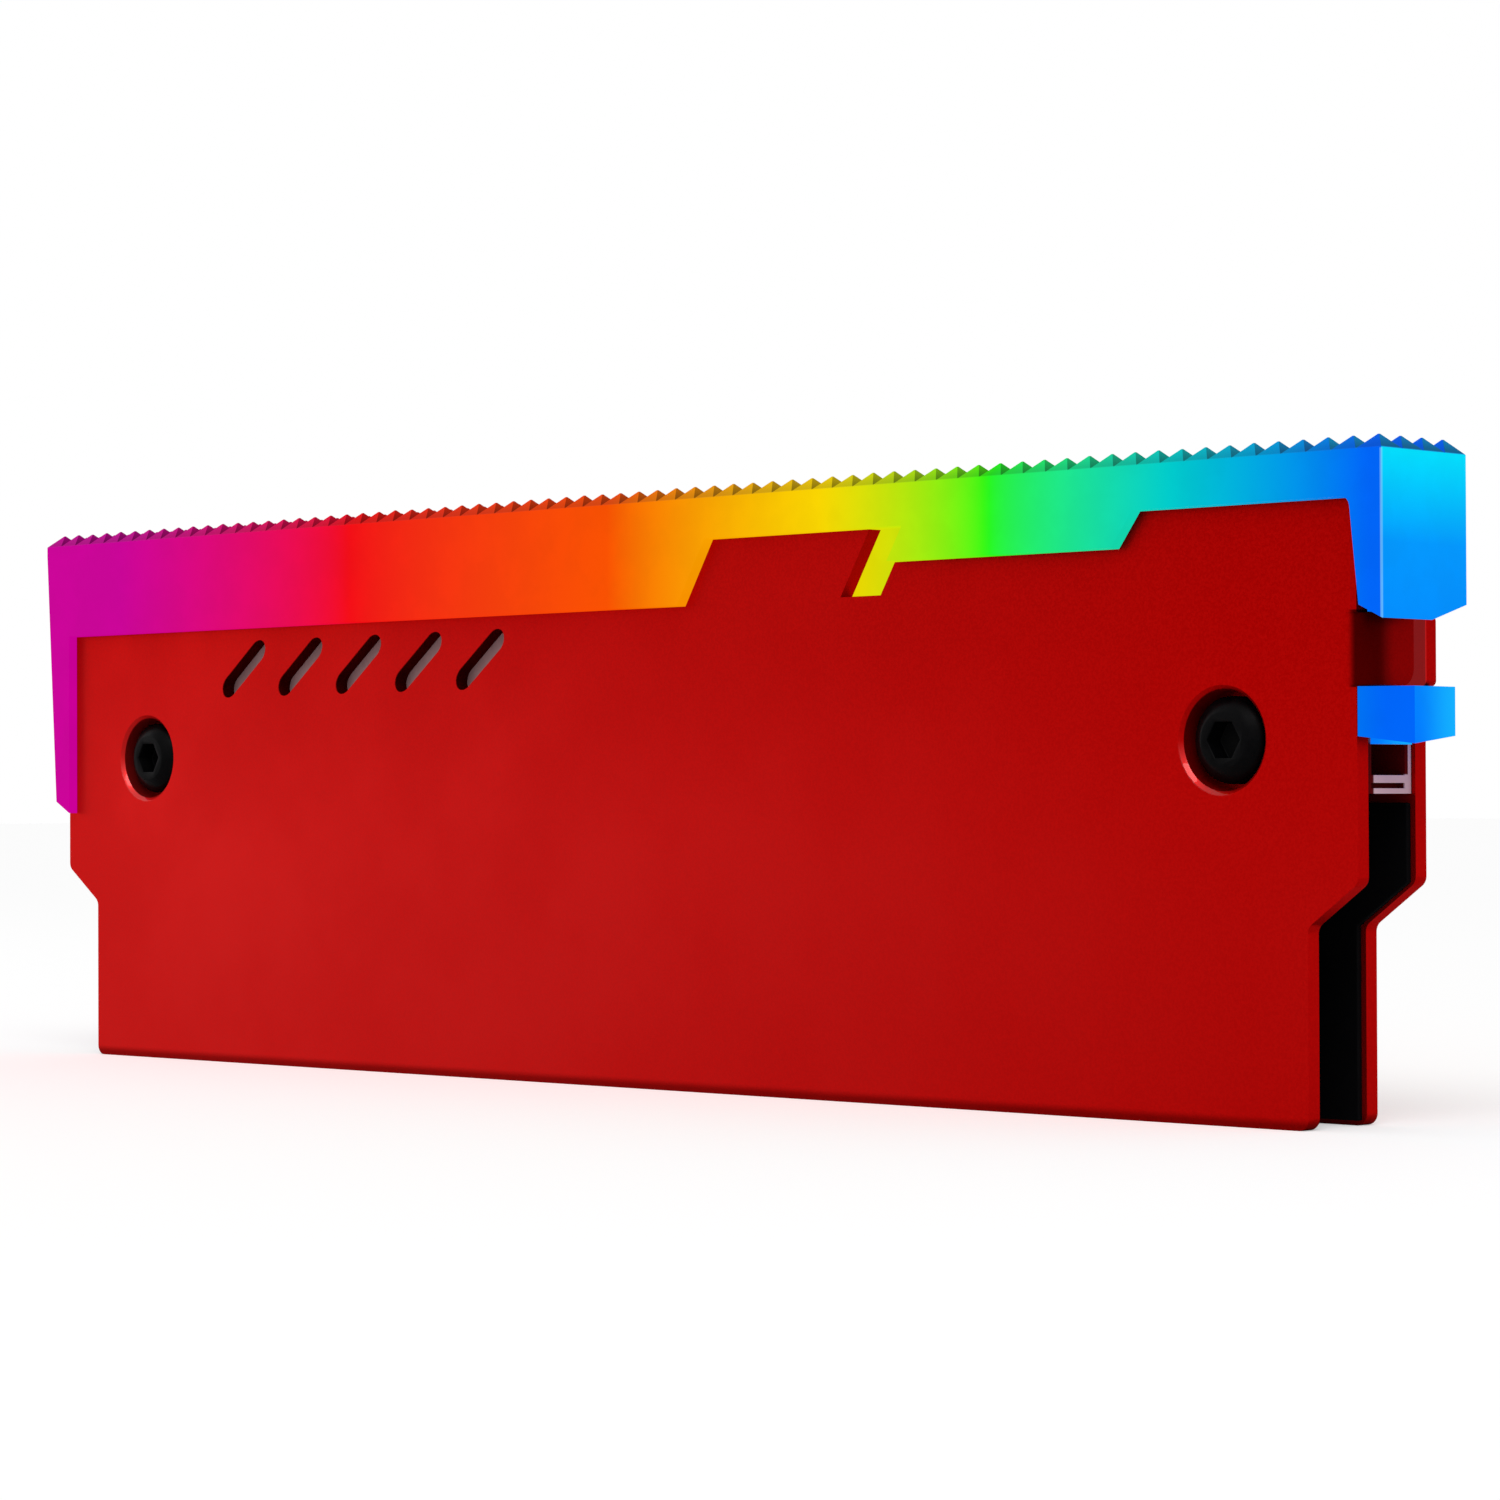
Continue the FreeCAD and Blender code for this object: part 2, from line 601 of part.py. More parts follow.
def build():
    """Make every piece and write one file for each."""
    NODES["front_plate"] = front_plate()
    NODES["rear_plate"] = rear_plate()
    NODES["light_bar"] = light_bar()
    NODES["front_thermal_pad"] = thermal_pad(-INNER_FACE, PAD_THICKNESS - INNER_FACE)
    NODES["rear_thermal_pad"] = thermal_pad(INNER_FACE - PAD_THICKNESS, INNER_FACE)
    for name, x in (("left", -SCREW_PLACE), ("right", SCREW_PLACE)):
        NODES[name + "_screw"] = screw(x)
        NODES[name + "_standoff"] = standoff(x)
    add_board_parts()
    os.makedirs("parts", exist_ok=True)
    for name, shape in NODES.items():
        shape.exportStep("parts/%s.step" % name)
        state = (name, len(shape.Solids), shape.isValid(), shape.Volume)
        print("%-18s solids %d valid %s volume %9.3f" % state)


build()
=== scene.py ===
"""Looks of a ram heat spreader: two red anodised plates, a lit bar and the parts that hold them.

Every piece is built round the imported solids, in metres, in the same frame: X runs along the
length, Y through the thickness and Z up, and the front face looks to -Y.
"""

import logging
import math
from dataclasses import dataclass, field
from enum import Enum
from functools import cached_property

import bmesh
import bpy
from mathutils import Matrix, Vector


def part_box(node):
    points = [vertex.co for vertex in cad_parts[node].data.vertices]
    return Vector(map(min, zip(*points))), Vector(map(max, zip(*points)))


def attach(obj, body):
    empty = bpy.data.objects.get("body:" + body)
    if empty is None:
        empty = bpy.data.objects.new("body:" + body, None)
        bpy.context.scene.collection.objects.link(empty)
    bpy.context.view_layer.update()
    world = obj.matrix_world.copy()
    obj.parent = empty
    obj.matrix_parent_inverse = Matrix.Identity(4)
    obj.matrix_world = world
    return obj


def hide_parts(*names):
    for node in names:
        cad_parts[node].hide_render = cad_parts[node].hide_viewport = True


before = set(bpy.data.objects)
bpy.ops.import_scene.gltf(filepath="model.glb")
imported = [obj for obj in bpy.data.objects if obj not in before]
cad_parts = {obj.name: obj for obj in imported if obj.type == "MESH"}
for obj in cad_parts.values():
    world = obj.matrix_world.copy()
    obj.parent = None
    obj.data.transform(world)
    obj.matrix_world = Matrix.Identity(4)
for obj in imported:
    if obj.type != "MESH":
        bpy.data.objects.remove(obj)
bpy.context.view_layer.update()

MM = 0.001
BODY = "root"
WELD = 1e-6
BAR_TOP = 44.0 * MM
LIGHT_REACH = 71.9 * MM
LIGHT_FOOT = 25.0 * MM
LOG = logging.getLogger("heat_spreader")

Colour = tuple[float, float, float, float]
WHITE: Colour = (1.0, 1.0, 1.0, 1.0)


def srgb(red: float, green: float, blue: float) -> Colour:
    """Turns a screen colour into the linear colour that a shader socket takes.

    Args:
        red: Red, from 0 to 255.
        green: Green, from 0 to 255.
        blue: Blue, from 0 to 255.

    Returns:
        The linear red, green, blue and alpha.
    """
    made = []
    for part in (red, green, blue):
        share = part / 255
        made.append(share / 12.92 if share <= 0.04045 else ((share + 0.055) / 1.055) ** 2.4)
    return made[0], made[1], made[2], 1.0


class Slot(Enum):
    """The record's material slots."""

    PLATE = "red_anodised_plate"
    BAR = "milky_plastic"
    PAD = "black_pad"
    SCREW = "black_screw"
    STEEL = "plain_steel"
    BOARD = "board"
    PLASTIC = "chip_plastic"
    CONTACT = "contact_brass"
    LAMP = "light_package"
    CAPACITOR = "capacitor"


class Bench:
    """Places and joins the nodes of one tree."""

    def __init__(self, tree: bpy.types.NodeTree) -> None:
        """Clears the tree and keeps it.

        Args:
            tree: A shader tree or a Geometry Nodes tree.
        """
        self.tree = tree
        self.tree.nodes.clear()

    def add(self, kind: str, inputs: dict | None = None, **settings: object) -> bpy.types.Node:
        """Adds a node.

        Args:
            kind: The node's Blender type.
            inputs: Socket name or number, and a plain value or the socket that feeds it.
            settings: The node's own settings.

        Returns:
            The new node.
        """
        node = self.tree.nodes.new(kind)
        for name, value in settings.items():
            setattr(node, name, value)
        for key, value in (inputs or {}).items():
            if isinstance(value, bpy.types.NodeSocket):
                self.tree.links.new(value, node.inputs[key])
            else:
                node.inputs[key].default_value = value
        return node

    def join(self, source: bpy.types.NodeSocket, target: bpy.types.NodeSocket) -> None:
        """Joins an output to an input."""
        self.tree.links.new(source, target)

    def math(self, operation: str, first: object, second: object = 0.0) -> bpy.types.NodeSocket:
        """Adds a Math node and returns its result.

        Args:
            operation: The Math node's operation.
            first: The first value or socket.
            second: The second value or socket.

        Returns:
            The output socket.
        """
        return self.add("ShaderNodeMath", {0: first, 1: second}, operation=operation).outputs[0]

    def place(self) -> tuple[bpy.types.NodeSocket, ...]:
        """Returns the place on the object: its X, Y and Z sockets."""
        spot = self.add("ShaderNodeTexCoord").outputs["Object"]
        return tuple(self.add("ShaderNodeSeparateXYZ", {0: spot}).outputs)

    def fade(self, value: object, start: float, end: float, low: float = 0.0,
             high: float = 1.0, way: str = "SMOOTHSTEP") -> bpy.types.NodeSocket:
        """Turns a value from one level to another.

        Args:
            value: The socket to read.
            start: Where the change starts.
            end: Where it ends.
            low: The level before the start.
            high: The level past the end.
            way: SMOOTHSTEP or LINEAR.

        Returns:
            The output socket.
        """
        return self.add("ShaderNodeMapRange", {
            "Value": value, "From Min": start, "From Max": end, "To Min": low, "To Max": high,
        }, interpolation_type=way).outputs[0]

    def band(self, value: object, low: float, high: float,
             soft: float = 0.1 * MM) -> bpy.types.NodeSocket:
        """Marks a stretch of a value, with soft ends outside it.

        Args:
            value: The socket to read.
            low: Where the stretch starts.
            high: Where it ends.
            soft: The width of each end.

        Returns:
            The mask's socket.
        """
        return self.math("MULTIPLY", self.fade(value, low - soft, low),
                         self.fade(value, high + soft, high))

    def both(self, *masks: object) -> bpy.types.NodeSocket:
        """Multiplies masks.

        Args:
            masks: The masks' sockets.

        Returns:
            The product's socket.
        """
        result = masks[0]
        for mask in masks[1:]:
            result = self.math("MULTIPLY", result, mask)
        return result

    def blend(self, share: object, first: object, second: object) -> bpy.types.NodeSocket:
        """Mixes two colours.

        Args:
            share: How much of the second colour.
            first: The first colour or socket.
            second: The second colour or socket.

        Returns:
            The mixed colour's socket.
        """
        return self.add("ShaderNodeMix", {0: share, 6: first, 7: second},
                        data_type="RGBA").outputs[2]

    def ramp(self, value: object, stops: list[tuple[float, Colour]]) -> bpy.types.NodeSocket:
        """Adds a colour ramp.

        Args:
            value: The socket that runs along the ramp.
            stops: The place of each stop, from 0 to 1, and its colour.

        Returns:
            The colour socket.
        """
        node = self.add("ShaderNodeValToRGB", {0: value})
        band = node.color_ramp
        band.elements[0].position = stops[0][0]
        band.elements[0].color = stops[0][1]
        band.elements[1].position = stops[-1][0]
        band.elements[1].color = stops[-1][1]
        for place, colour in stops[1:-1]:
            band.elements.new(place).color = colour
        return node.outputs[0]


class EffectGroups:
    """The shader effects that several finishes use, each built once."""

    @staticmethod
    def tree(name: str, inputs: dict[str, float],
             outputs: dict[str, str]) -> tuple[Bench, bpy.types.Node, bpy.types.Node]:
        """Starts a shader group with named sockets.

        Args:
            name: The group's name.
            inputs: Name and first value of each number that goes in.
            outputs: Name and socket type of each result.

        Returns:
            The bench, the group's input node and its output node.
        """
        tree = bpy.data.node_groups.new(name, "ShaderNodeTree")
        for key, value in inputs.items():
            socket = tree.interface.new_socket(
                name=key, in_out="INPUT", socket_type="NodeSocketFloat")
            socket.default_value = value
        for key, kind in outputs.items():
            tree.interface.new_socket(name=key, in_out="OUTPUT", socket_type=kind)
        bench = Bench(tree)
        return bench, bench.add("NodeGroupInput"), bench.add("NodeGroupOutput")

    @classmethod
    def grain(cls) -> bpy.types.NodeTree:
        """Fine grain with a slow mottle, from the place on the object.

        Returns:
            The group, with Height, Speck and Mottle.
        """
        found = bpy.data.node_groups.get("fine_grain")
        if found:
            return found
        bench, start, end = cls.tree(
            "fine_grain",
            {"Grain Scale": 6000.0, "Mottle Scale": 120.0, "Stretch": 1.0},
            {"Height": "NodeSocketFloat", "Speck": "NodeSocketFloat",
             "Mottle": "NodeSocketFloat"})
        place = bench.add("ShaderNodeTexCoord").outputs["Object"]
        parts = bench.add("ShaderNodeSeparateXYZ", {0: place}).outputs
        along = bench.math("DIVIDE", parts[0], start.outputs["Stretch"])
        drawn = bench.add("ShaderNodeCombineXYZ", {0: along, 1: parts[1], 2: parts[2]}).outputs[0]
        fine = bench.add("ShaderNodeTexNoise", {
            "Vector": drawn, "Scale": start.outputs["Grain Scale"], "Detail": 2.0,
            "Roughness": 0.6})
        slow = bench.add("ShaderNodeTexNoise", {
            "Vector": place, "Scale": start.outputs["Mottle Scale"], "Detail": 4.0,
            "Roughness": 0.55})
        bench.join(fine.outputs[0], end.inputs["Height"])
        bench.join(bench.fade(fine.outputs[0], 0.35, 0.65), end.inputs["Speck"])
        bench.join(bench.fade(slow.outputs[0], 0.3, 0.7), end.inputs["Mottle"])
        return bench.tree

    @classmethod
    def dust(cls) -> bpy.types.NodeTree:
        """Thin dust on what faces up.

        Returns:
            The group, with a Mask.
        """
        found = bpy.data.node_groups.get("thin_dust")
        if found:
            return found
        bench, start, end = cls.tree(
            "thin_dust", {"Dust Scale": 900.0, "Amount": 0.3}, {"Mask": "NodeSocketFloat"})
        place = bench.add("ShaderNodeTexCoord").outputs["Object"]
        facing = bench.add("ShaderNodeSeparateXYZ", {
            0: bench.add("ShaderNodeNewGeometry").outputs["Normal"]}).outputs[2]
        flecks = bench.add("ShaderNodeTexNoise", {
            "Vector": place, "Scale": start.outputs["Dust Scale"], "Detail": 5.0})
        spread = bench.math("MULTIPLY", bench.fade(flecks.outputs[0], 0.4, 0.75),
                            bench.fade(facing, 0.1, 0.95))
        bench.join(
            bench.math("MULTIPLY", spread, start.outputs["Amount"]), end.inputs["Mask"])
        return bench.tree

    @staticmethod
    def run(bench: Bench, value: bpy.types.NodeSocket, low: float, high: float,
            stops: list[tuple[float, tuple[int, int, int]]]) -> bpy.types.NodeSocket:
        """Lays colours along a stretch.

        Args:
            bench: The group's bench.
            value: The socket that runs along it.
            low: Where the stretch starts.
            high: Where it ends.
            stops: Each colour's place, in millimetres, and its screen colour.

        Returns:
            The colour socket.
        """
        return bench.ramp(bench.fade(value, low, high, way="LINEAR"), [
            ((at * MM - low) / (high - low), srgb(*rgb)) for at, rgb in stops])

    @classmethod
    def spectrum(cls) -> bpy.types.NodeTree:
        """The colours of the light, which run from magenta at the left to blue at the right.

        Returns:
            The group, with Colour, Glow and PaintedFacetShade, the painted shade on the pyramids.
        """
        found = bpy.data.node_groups.get("light_spectrum")
        if found:
            return found
        bench, _, end = cls.tree(
            "light_spectrum", {},
            {"Colour": "NodeSocketColor", "Glow": "NodeSocketFloat", "PaintedFacetShade": "NodeSocketFloat"})
        along, across, up = bench.place()
        way = bench.add("ShaderNodeNewGeometry").outputs["Normal"]
        right, back, _ = bench.add("ShaderNodeSeparateXYZ", {0: way}).outputs
        face = cls.run(bench, along, -LIGHT_REACH, LIGHT_REACH, SPECTRUM)
        end_face = cls.run(bench, up, LIGHT_FOOT, BAR_TOP, END_SPECTRUM)
        at_end = bench.math("MULTIPLY", bench.fade(right, 0.55, 0.9),
                            bench.fade(along, 65 * MM, 66 * MM))
        block = bench.both(bench.fade(across, -2.2 * MM, 2.4 * MM),
                           bench.fade(up, 29.4 * MM, 29.0 * MM))
        end_face = bench.blend(block, end_face, srgb(16, 172, 250))
        # Painted highlight: a pale tint at the top front corner of the right end.
        corner = bench.both(bench.fade(along, 71.0 * MM, 71.05 * MM),
                            bench.fade(across, -4.56 * MM, -4.62 * MM),
                            bench.fade(up, BAR_TOP - 0.01 * MM, BAR_TOP - 0.1 * MM))
        lit = bench.blend(at_end, face, end_face)
        lit = bench.blend(bench.math("MULTIPLY", corner, 0.5), lit, srgb(130, 212, 250))
        bench.join(lit, end.inputs["Colour"])
        ends = bench.math("MAXIMUM", bench.fade(along, 68.35 * MM, 68.5 * MM),
                          bench.fade(along, -67.1 * MM, -67.3 * MM))
        glow = bench.math("MAXIMUM", bench.fade(up, 34.6 * MM, 36.0 * MM), ends)
        bench.join(glow, end.inputs["Glow"])
        # Painted shade on the pyramids: their glow is dimmed by the way each face turns.
        painted_tilt_shade = bench.math("ADD", bench.math("MULTIPLY", right, -0.34),
                          bench.math("MULTIPLY", back, -0.30))
        rise = bench.fade(up, BAR_TOP, BAR_TOP + 1.0 * MM, 0.46, 0.66)
        painted_facet_shade = bench.math("ADD", painted_tilt_shade, rise)
        crown = bench.fade(up, BAR_TOP - 0.03 * MM, BAR_TOP + 0.1 * MM)
        level = bench.math("ADD", 1.0, bench.math(
            "MULTIPLY", crown, bench.math("SUBTRACT", painted_facet_shade, 1.0)))
        bench.join(bench.math("MAXIMUM", level, 0.12), end.inputs["PaintedFacetShade"])
        return bench.tree


SPECTRUM = [
    (-60.0, (200, 0, 150)),
    (-30.0, (240, 10, 20)),
    (0.0, (245, 80, 0)),
    (22.0, (245, 210, 0)),
    (38.0, (40, 245, 20)),
    (54.0, (0, 200, 200)),
    (70.0, (0, 100, 245)),
]
END_SPECTRUM = [
    (25.0, (0, 120, 250)),
    (38.0, (0, 150, 250)),
    (44.0, (0, 220, 250)),
]


@dataclass(frozen=True)
class Finish:
    """A finish with fine grain in its surface."""

    name: str
    colour: Colour
    second: Colour
    roughness: float = 0.5
    roughness_spread: float = 0.1
    metallic: float = 0.0
    specular: float = 0.5
    grain_scale: float = 6000.0
    mottle_scale: float = 150.0
    stretch: float = 1.0
    bump: float = 0.1
    bump_depth: float = 0.01 * MM
    dust: float = 0.0

    def start(self) -> tuple[bpy.types.Material, Bench, bpy.types.Node, bpy.types.Node]:
        """Makes an empty material with its shader and its grain.

        Returns:
            The material, its bench, the shader and the grain node.
        """
        material = bpy.data.materials.new(self.name)
        material.use_nodes = True
        bench = Bench(material.node_tree)
        shader = bench.add("ShaderNodeBsdfPrincipled", {
            "Metallic": self.metallic, "Specular IOR Level": self.specular})
        output = bench.add("ShaderNodeOutputMaterial")
        bench.join(shader.outputs[0], output.inputs[0])
        grain = bench.add("ShaderNodeGroup", {
            "Grain Scale": self.grain_scale, "Mottle Scale": self.mottle_scale,
            "Stretch": self.stretch}, node_tree=EffectGroups.grain())
        height = bench.add("ShaderNodeBump", {
            "Strength": self.bump, "Distance": self.bump_depth,
            "Height": grain.outputs["Height"]})
        bench.join(height.outputs[0], shader.inputs["Normal"])
        rough = bench.fade(grain.outputs["Mottle"], 0.0, 1.0,
                           self.roughness - self.roughness_spread,
                           self.roughness + self.roughness_spread, way="LINEAR")
        bench.join(rough, shader.inputs["Roughness"])
        return material, bench, shader, grain

    def dusted(self, bench: Bench, colour: bpy.types.NodeSocket) -> bpy.types.NodeSocket:
        """Lays dust over a colour.

        Args:
            bench: The material's bench.
            colour: The clean colour.

        Returns:
            The colour with its dust.
        """
        if not self.dust:
            return colour
        dust = bench.add("ShaderNodeGroup", {"Amount": self.dust},
                         node_tree=EffectGroups.dust())
        return bench.blend(dust.outputs["Mask"], colour, srgb(150, 146, 140))

    def material(self) -> bpy.types.Material:
        """Makes the material once.

        Returns:
            The material.
        """
        found = bpy.data.materials.get(self.name)
        return found if found else self.build()

    def build(self) -> bpy.types.Material:
        """Joins the colours to the shader.

        Returns:
            The finished material.
        """
        material, bench, shader, grain = self.start()
        share = bench.math("MULTIPLY", grain.outputs["Mottle"], 0.6)
        share = bench.math("ADD", share, bench.math("MULTIPLY", grain.outputs["Speck"], 0.4))
        colour = bench.blend(share, self.colour, self.second)
        bench.join(self.dusted(bench, colour), shader.inputs["Base Color"])
        return material


@dataclass(frozen=True)
class AnodisedFinish(Finish):
    """Satin red-dyed blasted aluminium, with a painted highlight to the left and bottom and
    painted shade to the top.

    The inner face beside the bar's window has a painted glow that stands in for the bar's light
    falling on it.
    """

    # The pale colour is a painted highlight, laid on towards the left end and the bottom.
    pale: Colour = field(default_factory=lambda: srgb(196, 27, 26))
    pale_from: float = 60.0 * MM
    pale_to: float = -64.0 * MM
    fleck: Colour = field(default_factory=lambda: srgb(226, 22, 18))
    # Painted glow colour for the inner face beside the bar's window.
    painted_spill_glow: Colour = field(default_factory=lambda: srgb(122, 25, 26))
    # Painted shade: the face turns darker towards the top.
    painted_top_shade: Colour = field(default_factory=lambda: srgb(152, 4, 3))
    # Painted shade at the bottom edge, in the vents and on the end tab.
    painted_shade: Colour = field(default_factory=lambda: srgb(44, 0, 0))
    tint: Colour = field(default_factory=lambda: srgb(255, 90, 90))
    vents_along: tuple[float, float] = (-48.5 * MM, -10.0 * MM)
    vents_up: tuple[float, float] = (30.2 * MM, 35.6 * MM)
    face: float = 3.7 * MM
    tab_up: tuple[float, float] = (28.8 * MM, 33.7 * MM)
    hole_along: float = 57.6 * MM
    hole_up: float = 25.5 * MM
    rim_gloss: float = 0.6
    rim_reach: float = 3.75 * MM

    def build(self) -> bpy.types.Material:
        """Joins the dyed colours, the painted highlight, painted shade and painted glow to the
        shader.

        Returns:
            The finished material.
        """
        material, bench, shader, grain = self.start()
        shader.inputs["Specular Tint"].default_value = self.tint
        along, across, up = bench.place()
        # Painted highlight towards the left end and the bottom, painted shade towards the top.
        paler = bench.fade(along, self.pale_from, self.pale_to, way="LINEAR")
        painted_low_highlight = bench.fade(up, 36 * MM, 10 * MM, 0.0, 0.14)
        share = bench.math("MINIMUM", bench.math("ADD", paler, painted_low_highlight), 1.0)
        dye_with_painted_light = bench.blend(share, self.colour, self.pale)
        dye_with_painted_light = bench.blend(bench.fade(up, 18 * MM, 42 * MM, 0.0, 0.5), dye_with_painted_light, self.painted_top_shade)
        worn = bench.blend(bench.math("MULTIPLY", grain.outputs["Mottle"], 0.16), dye_with_painted_light, self.second)
        flecks = bench.blend(
            bench.math("MULTIPLY", grain.outputs["Speck"], 0.16), worn, self.fleck)
        # Painted shade: the vents' walls, the end tab and the bottom edge are darkened where shade
        # falls.
        vents = bench.both(bench.band(along, *self.vents_along), bench.band(up, *self.vents_up),
                           bench.band(across, -self.face, self.face, 0.04 * MM))
        tab = bench.both(bench.fade(along, 67.7 * MM, 68.3 * MM),
                         bench.band(up, *self.tab_up),
                         bench.fade(across, 1.9 * MM, 1.4 * MM),
                         bench.fade(across, -0.6 * MM, -2.6 * MM, 0.45, 0.9))
        foot = bench.fade(up, 0.9 * MM, 0.25 * MM, 0.0, 0.6)
        painted_shade = bench.math("MAXIMUM", foot, bench.math(
            "MAXIMUM", bench.math("MULTIPLY", vents, 0.9), tab))
        bench.join(
            bench.blend(painted_shade, flecks, self.painted_shade), shader.inputs["Base Color"])
        beside = bench.math("SUBTRACT", bench.math("ABSOLUTE", along), self.hole_along)
        above = bench.math("SUBTRACT", up, self.hole_up)
        reach = bench.math("SQRT", bench.math(
            "ADD", bench.math("MULTIPLY", beside, beside), bench.math("MULTIPLY", above, above)))
        leftward = bench.math("MULTIPLY", beside, bench.math("SIGN", along))
        # Painted highlight: the gloss coat is laid only on the bottom-left of each hole rim, where
        # the key lamp's highlight shows.
        glint = bench.both(bench.fade(reach, self.rim_reach, self.rim_reach - 0.1 * MM),
                           bench.fade(across, -2.6 * MM, -3.0 * MM),
                           bench.fade(above, 0.2 * MM, -1.4 * MM),
                           bench.fade(leftward, 1.2 * MM, -0.6 * MM))
        bench.join(
            bench.math("MULTIPLY", glint, self.rim_gloss), shader.inputs["Coat Weight"])
        # Painted glow: this strip of the inner face emits a little red light, standing in for the
        # bar's light on it.
        painted_spill_glow = bench.both(bench.band(across, 2.5 * MM, 2.65 * MM),
                           bench.fade(along, 65.5 * MM, 67.0 * MM),
                           bench.fade(up, 28.0 * MM, 29.2 * MM))
        bench.join(
            bench.blend(painted_spill_glow, srgb(0, 0, 0), self.painted_spill_glow), shader.inputs["Emission Color"])
        shader.inputs["Emission Strength"].default_value = 1.0
        return material


@dataclass(frozen=True)
class LitPlasticFinish(Finish):
    """Milky plastic that carries the light of the lamps inside it."""

    own_share: float = 0.06
    # Painted shade for the pocket's walls; the rim colour below is a painted highlight.
    shade: Colour = field(default_factory=lambda: srgb(92, 8, 10))
    rim: Colour = field(default_factory=lambda: srgb(226, 184, 188))

    @staticmethod
    def pocket(bench: Bench) -> tuple[bpy.types.NodeSocket, bpy.types.NodeSocket]:
        """Finds the rim of the small pocket at the right end, which gets a painted highlight, and
        its walls, which get painted shade.

        Args:
            bench: The material's bench.

        Returns:
            The masks of the rim and of the walls.
        """
        along, across, up = bench.place()
        low = bench.fade(up, 25.4 * MM, 25.1 * MM)
        behind = bench.both(bench.band(across, 1.5 * MM, 2.15 * MM),
                            bench.fade(up, 23.1 * MM, 23.2 * MM))
        inside = bench.math("MAXIMUM", bench.fade(along, 68.15 * MM, 68.05 * MM),
                            bench.math("MAXIMUM", bench.fade(across, -1.5 * MM, -1.7 * MM),
                                       behind))
        return bench.both(low, bench.fade(along, 68.0 * MM, 68.1 * MM)), bench.both(low, inside)

    def build(self) -> bpy.types.Material:
        """Joins the light and the plastic to the shader.

        Returns:
            The finished material.
        """
        material, bench, shader, grain = self.start()
        light = bench.add("ShaderNodeGroup", node_tree=EffectGroups.spectrum())
        black = srgb(0, 0, 0)
        tinted = bench.blend(self.own_share, black, light.outputs["Colour"])
        rim, inside = self.pocket(bench)
        milky = bench.blend(grain.outputs["Mottle"], self.colour, self.second)
        # Painted highlight on the pocket's rim and painted shade on its walls.
        milky = bench.blend(inside, bench.blend(rim, milky, self.rim), self.shade)
        bench.join(
            bench.blend(light.outputs["Glow"], milky, tinted), shader.inputs["Base Color"])
        depth = bench.fade(grain.outputs["Mottle"], 0.0, 1.0, 0.95, 1.0)
        level = bench.math("MULTIPLY", light.outputs["Glow"], light.outputs["PaintedFacetShade"])
        level = bench.math("MULTIPLY", level, depth)
        shining = bench.blend(level, black, light.outputs["Colour"])
        bench.join(shining, shader.inputs["Emission Color"])
        shader.inputs["Emission Strength"].default_value = 1.0
        return material


@dataclass(frozen=True)
class LampFinish(Finish):
    """The window of a small lamp, in the colour of its place along the bar."""

    def build(self) -> bpy.types.Material:
        """Joins the lamp's light to the shader.

        Returns:
            The finished material.
        """
        material, bench, shader, grain = self.start()
        light = bench.add("ShaderNodeGroup", node_tree=EffectGroups.spectrum())
        bench.join(
            bench.blend(0.5, self.colour, light.outputs["Colour"]), shader.inputs["Base Color"])
        level = bench.fade(grain.outputs["Speck"], 0.0, 1.0, 0.8, 1.0)
        bench.join(
            bench.blend(level, srgb(0, 0, 0), light.outputs["Colour"]),
            shader.inputs["Emission Color"])
        shader.inputs["Emission Strength"].default_value = 1.5
        return material


@dataclass(frozen=True)
class BoardFinish(Finish):
    """Solder mask over copper tracks that run along the board."""

    track_pitch: float = 0.9 * MM
    track: Colour = field(default_factory=lambda: srgb(34, 40, 44))

    def build(self) -> bpy.types.Material:
        """Joins the mask and its tracks to the shader.

        Returns:
            The finished material.
        """
        material, bench, shader, grain = self.start()
        wave = bench.math("SINE", bench.math(
            "MULTIPLY", bench.place()[1], 2 * math.pi / self.track_pitch))
        tracks = bench.fade(wave, 0.25, 0.45)
        base = bench.blend(grain.outputs["Mottle"], self.colour, self.second)
        bench.join(
            bench.blend(tracks, base, self.track), shader.inputs["Base Color"])
        return material


# The pale colour of each plate finish is its painted highlight.
PLATE_FACE = AnodisedFinish(
    "red_anodised_face", srgb(178, 2, 1), srgb(168, 2, 3), roughness=0.42,
    roughness_spread=0.05, metallic=0.84, specular=0.04, grain_scale=5200.0,
    mottle_scale=85.0, bump=0.22, bump_depth=0.012 * MM, pale=srgb(204, 38, 37))
PLATE_EDGE = AnodisedFinish(
    "red_anodised_edge", srgb(190, 8, 10), srgb(170, 6, 9), roughness=0.28,
    roughness_spread=0.05, metallic=0.85, specular=0.1, grain_scale=7000.0,
    mottle_scale=240.0, bump=0.1, bump_depth=0.006 * MM, pale=srgb(208, 28, 28),
    tint=srgb(255, 196, 196), rim_reach=4.0 * MM)
BAR_PLASTIC = LitPlasticFinish(
    "lit_milky_plastic", srgb(168, 132, 134), srgb(186, 150, 152), roughness=0.42,
    roughness_spread=0.05, specular=0.006, grain_scale=3000.0, mottle_scale=260.0,
    bump=0.05, bump_depth=0.008 * MM)
PAD_RUBBER = Finish(
    "black_silicone_pad", srgb(2, 2, 3), srgb(4, 4, 5), roughness=0.8,
    roughness_spread=0.08, specular=0.05, grain_scale=2600.0, mottle_scale=400.0,
    bump=0.35, bump_depth=0.03 * MM)
SCREW_BLACK = Finish(
    "black_oxide_steel", srgb(2, 2, 3), srgb(6, 6, 7), roughness=0.36,
    roughness_spread=0.1, metallic=0.0, specular=0.04, grain_scale=4200.0,
    mottle_scale=700.0, bump=0.2, bump_depth=0.01 * MM, dust=0.004)
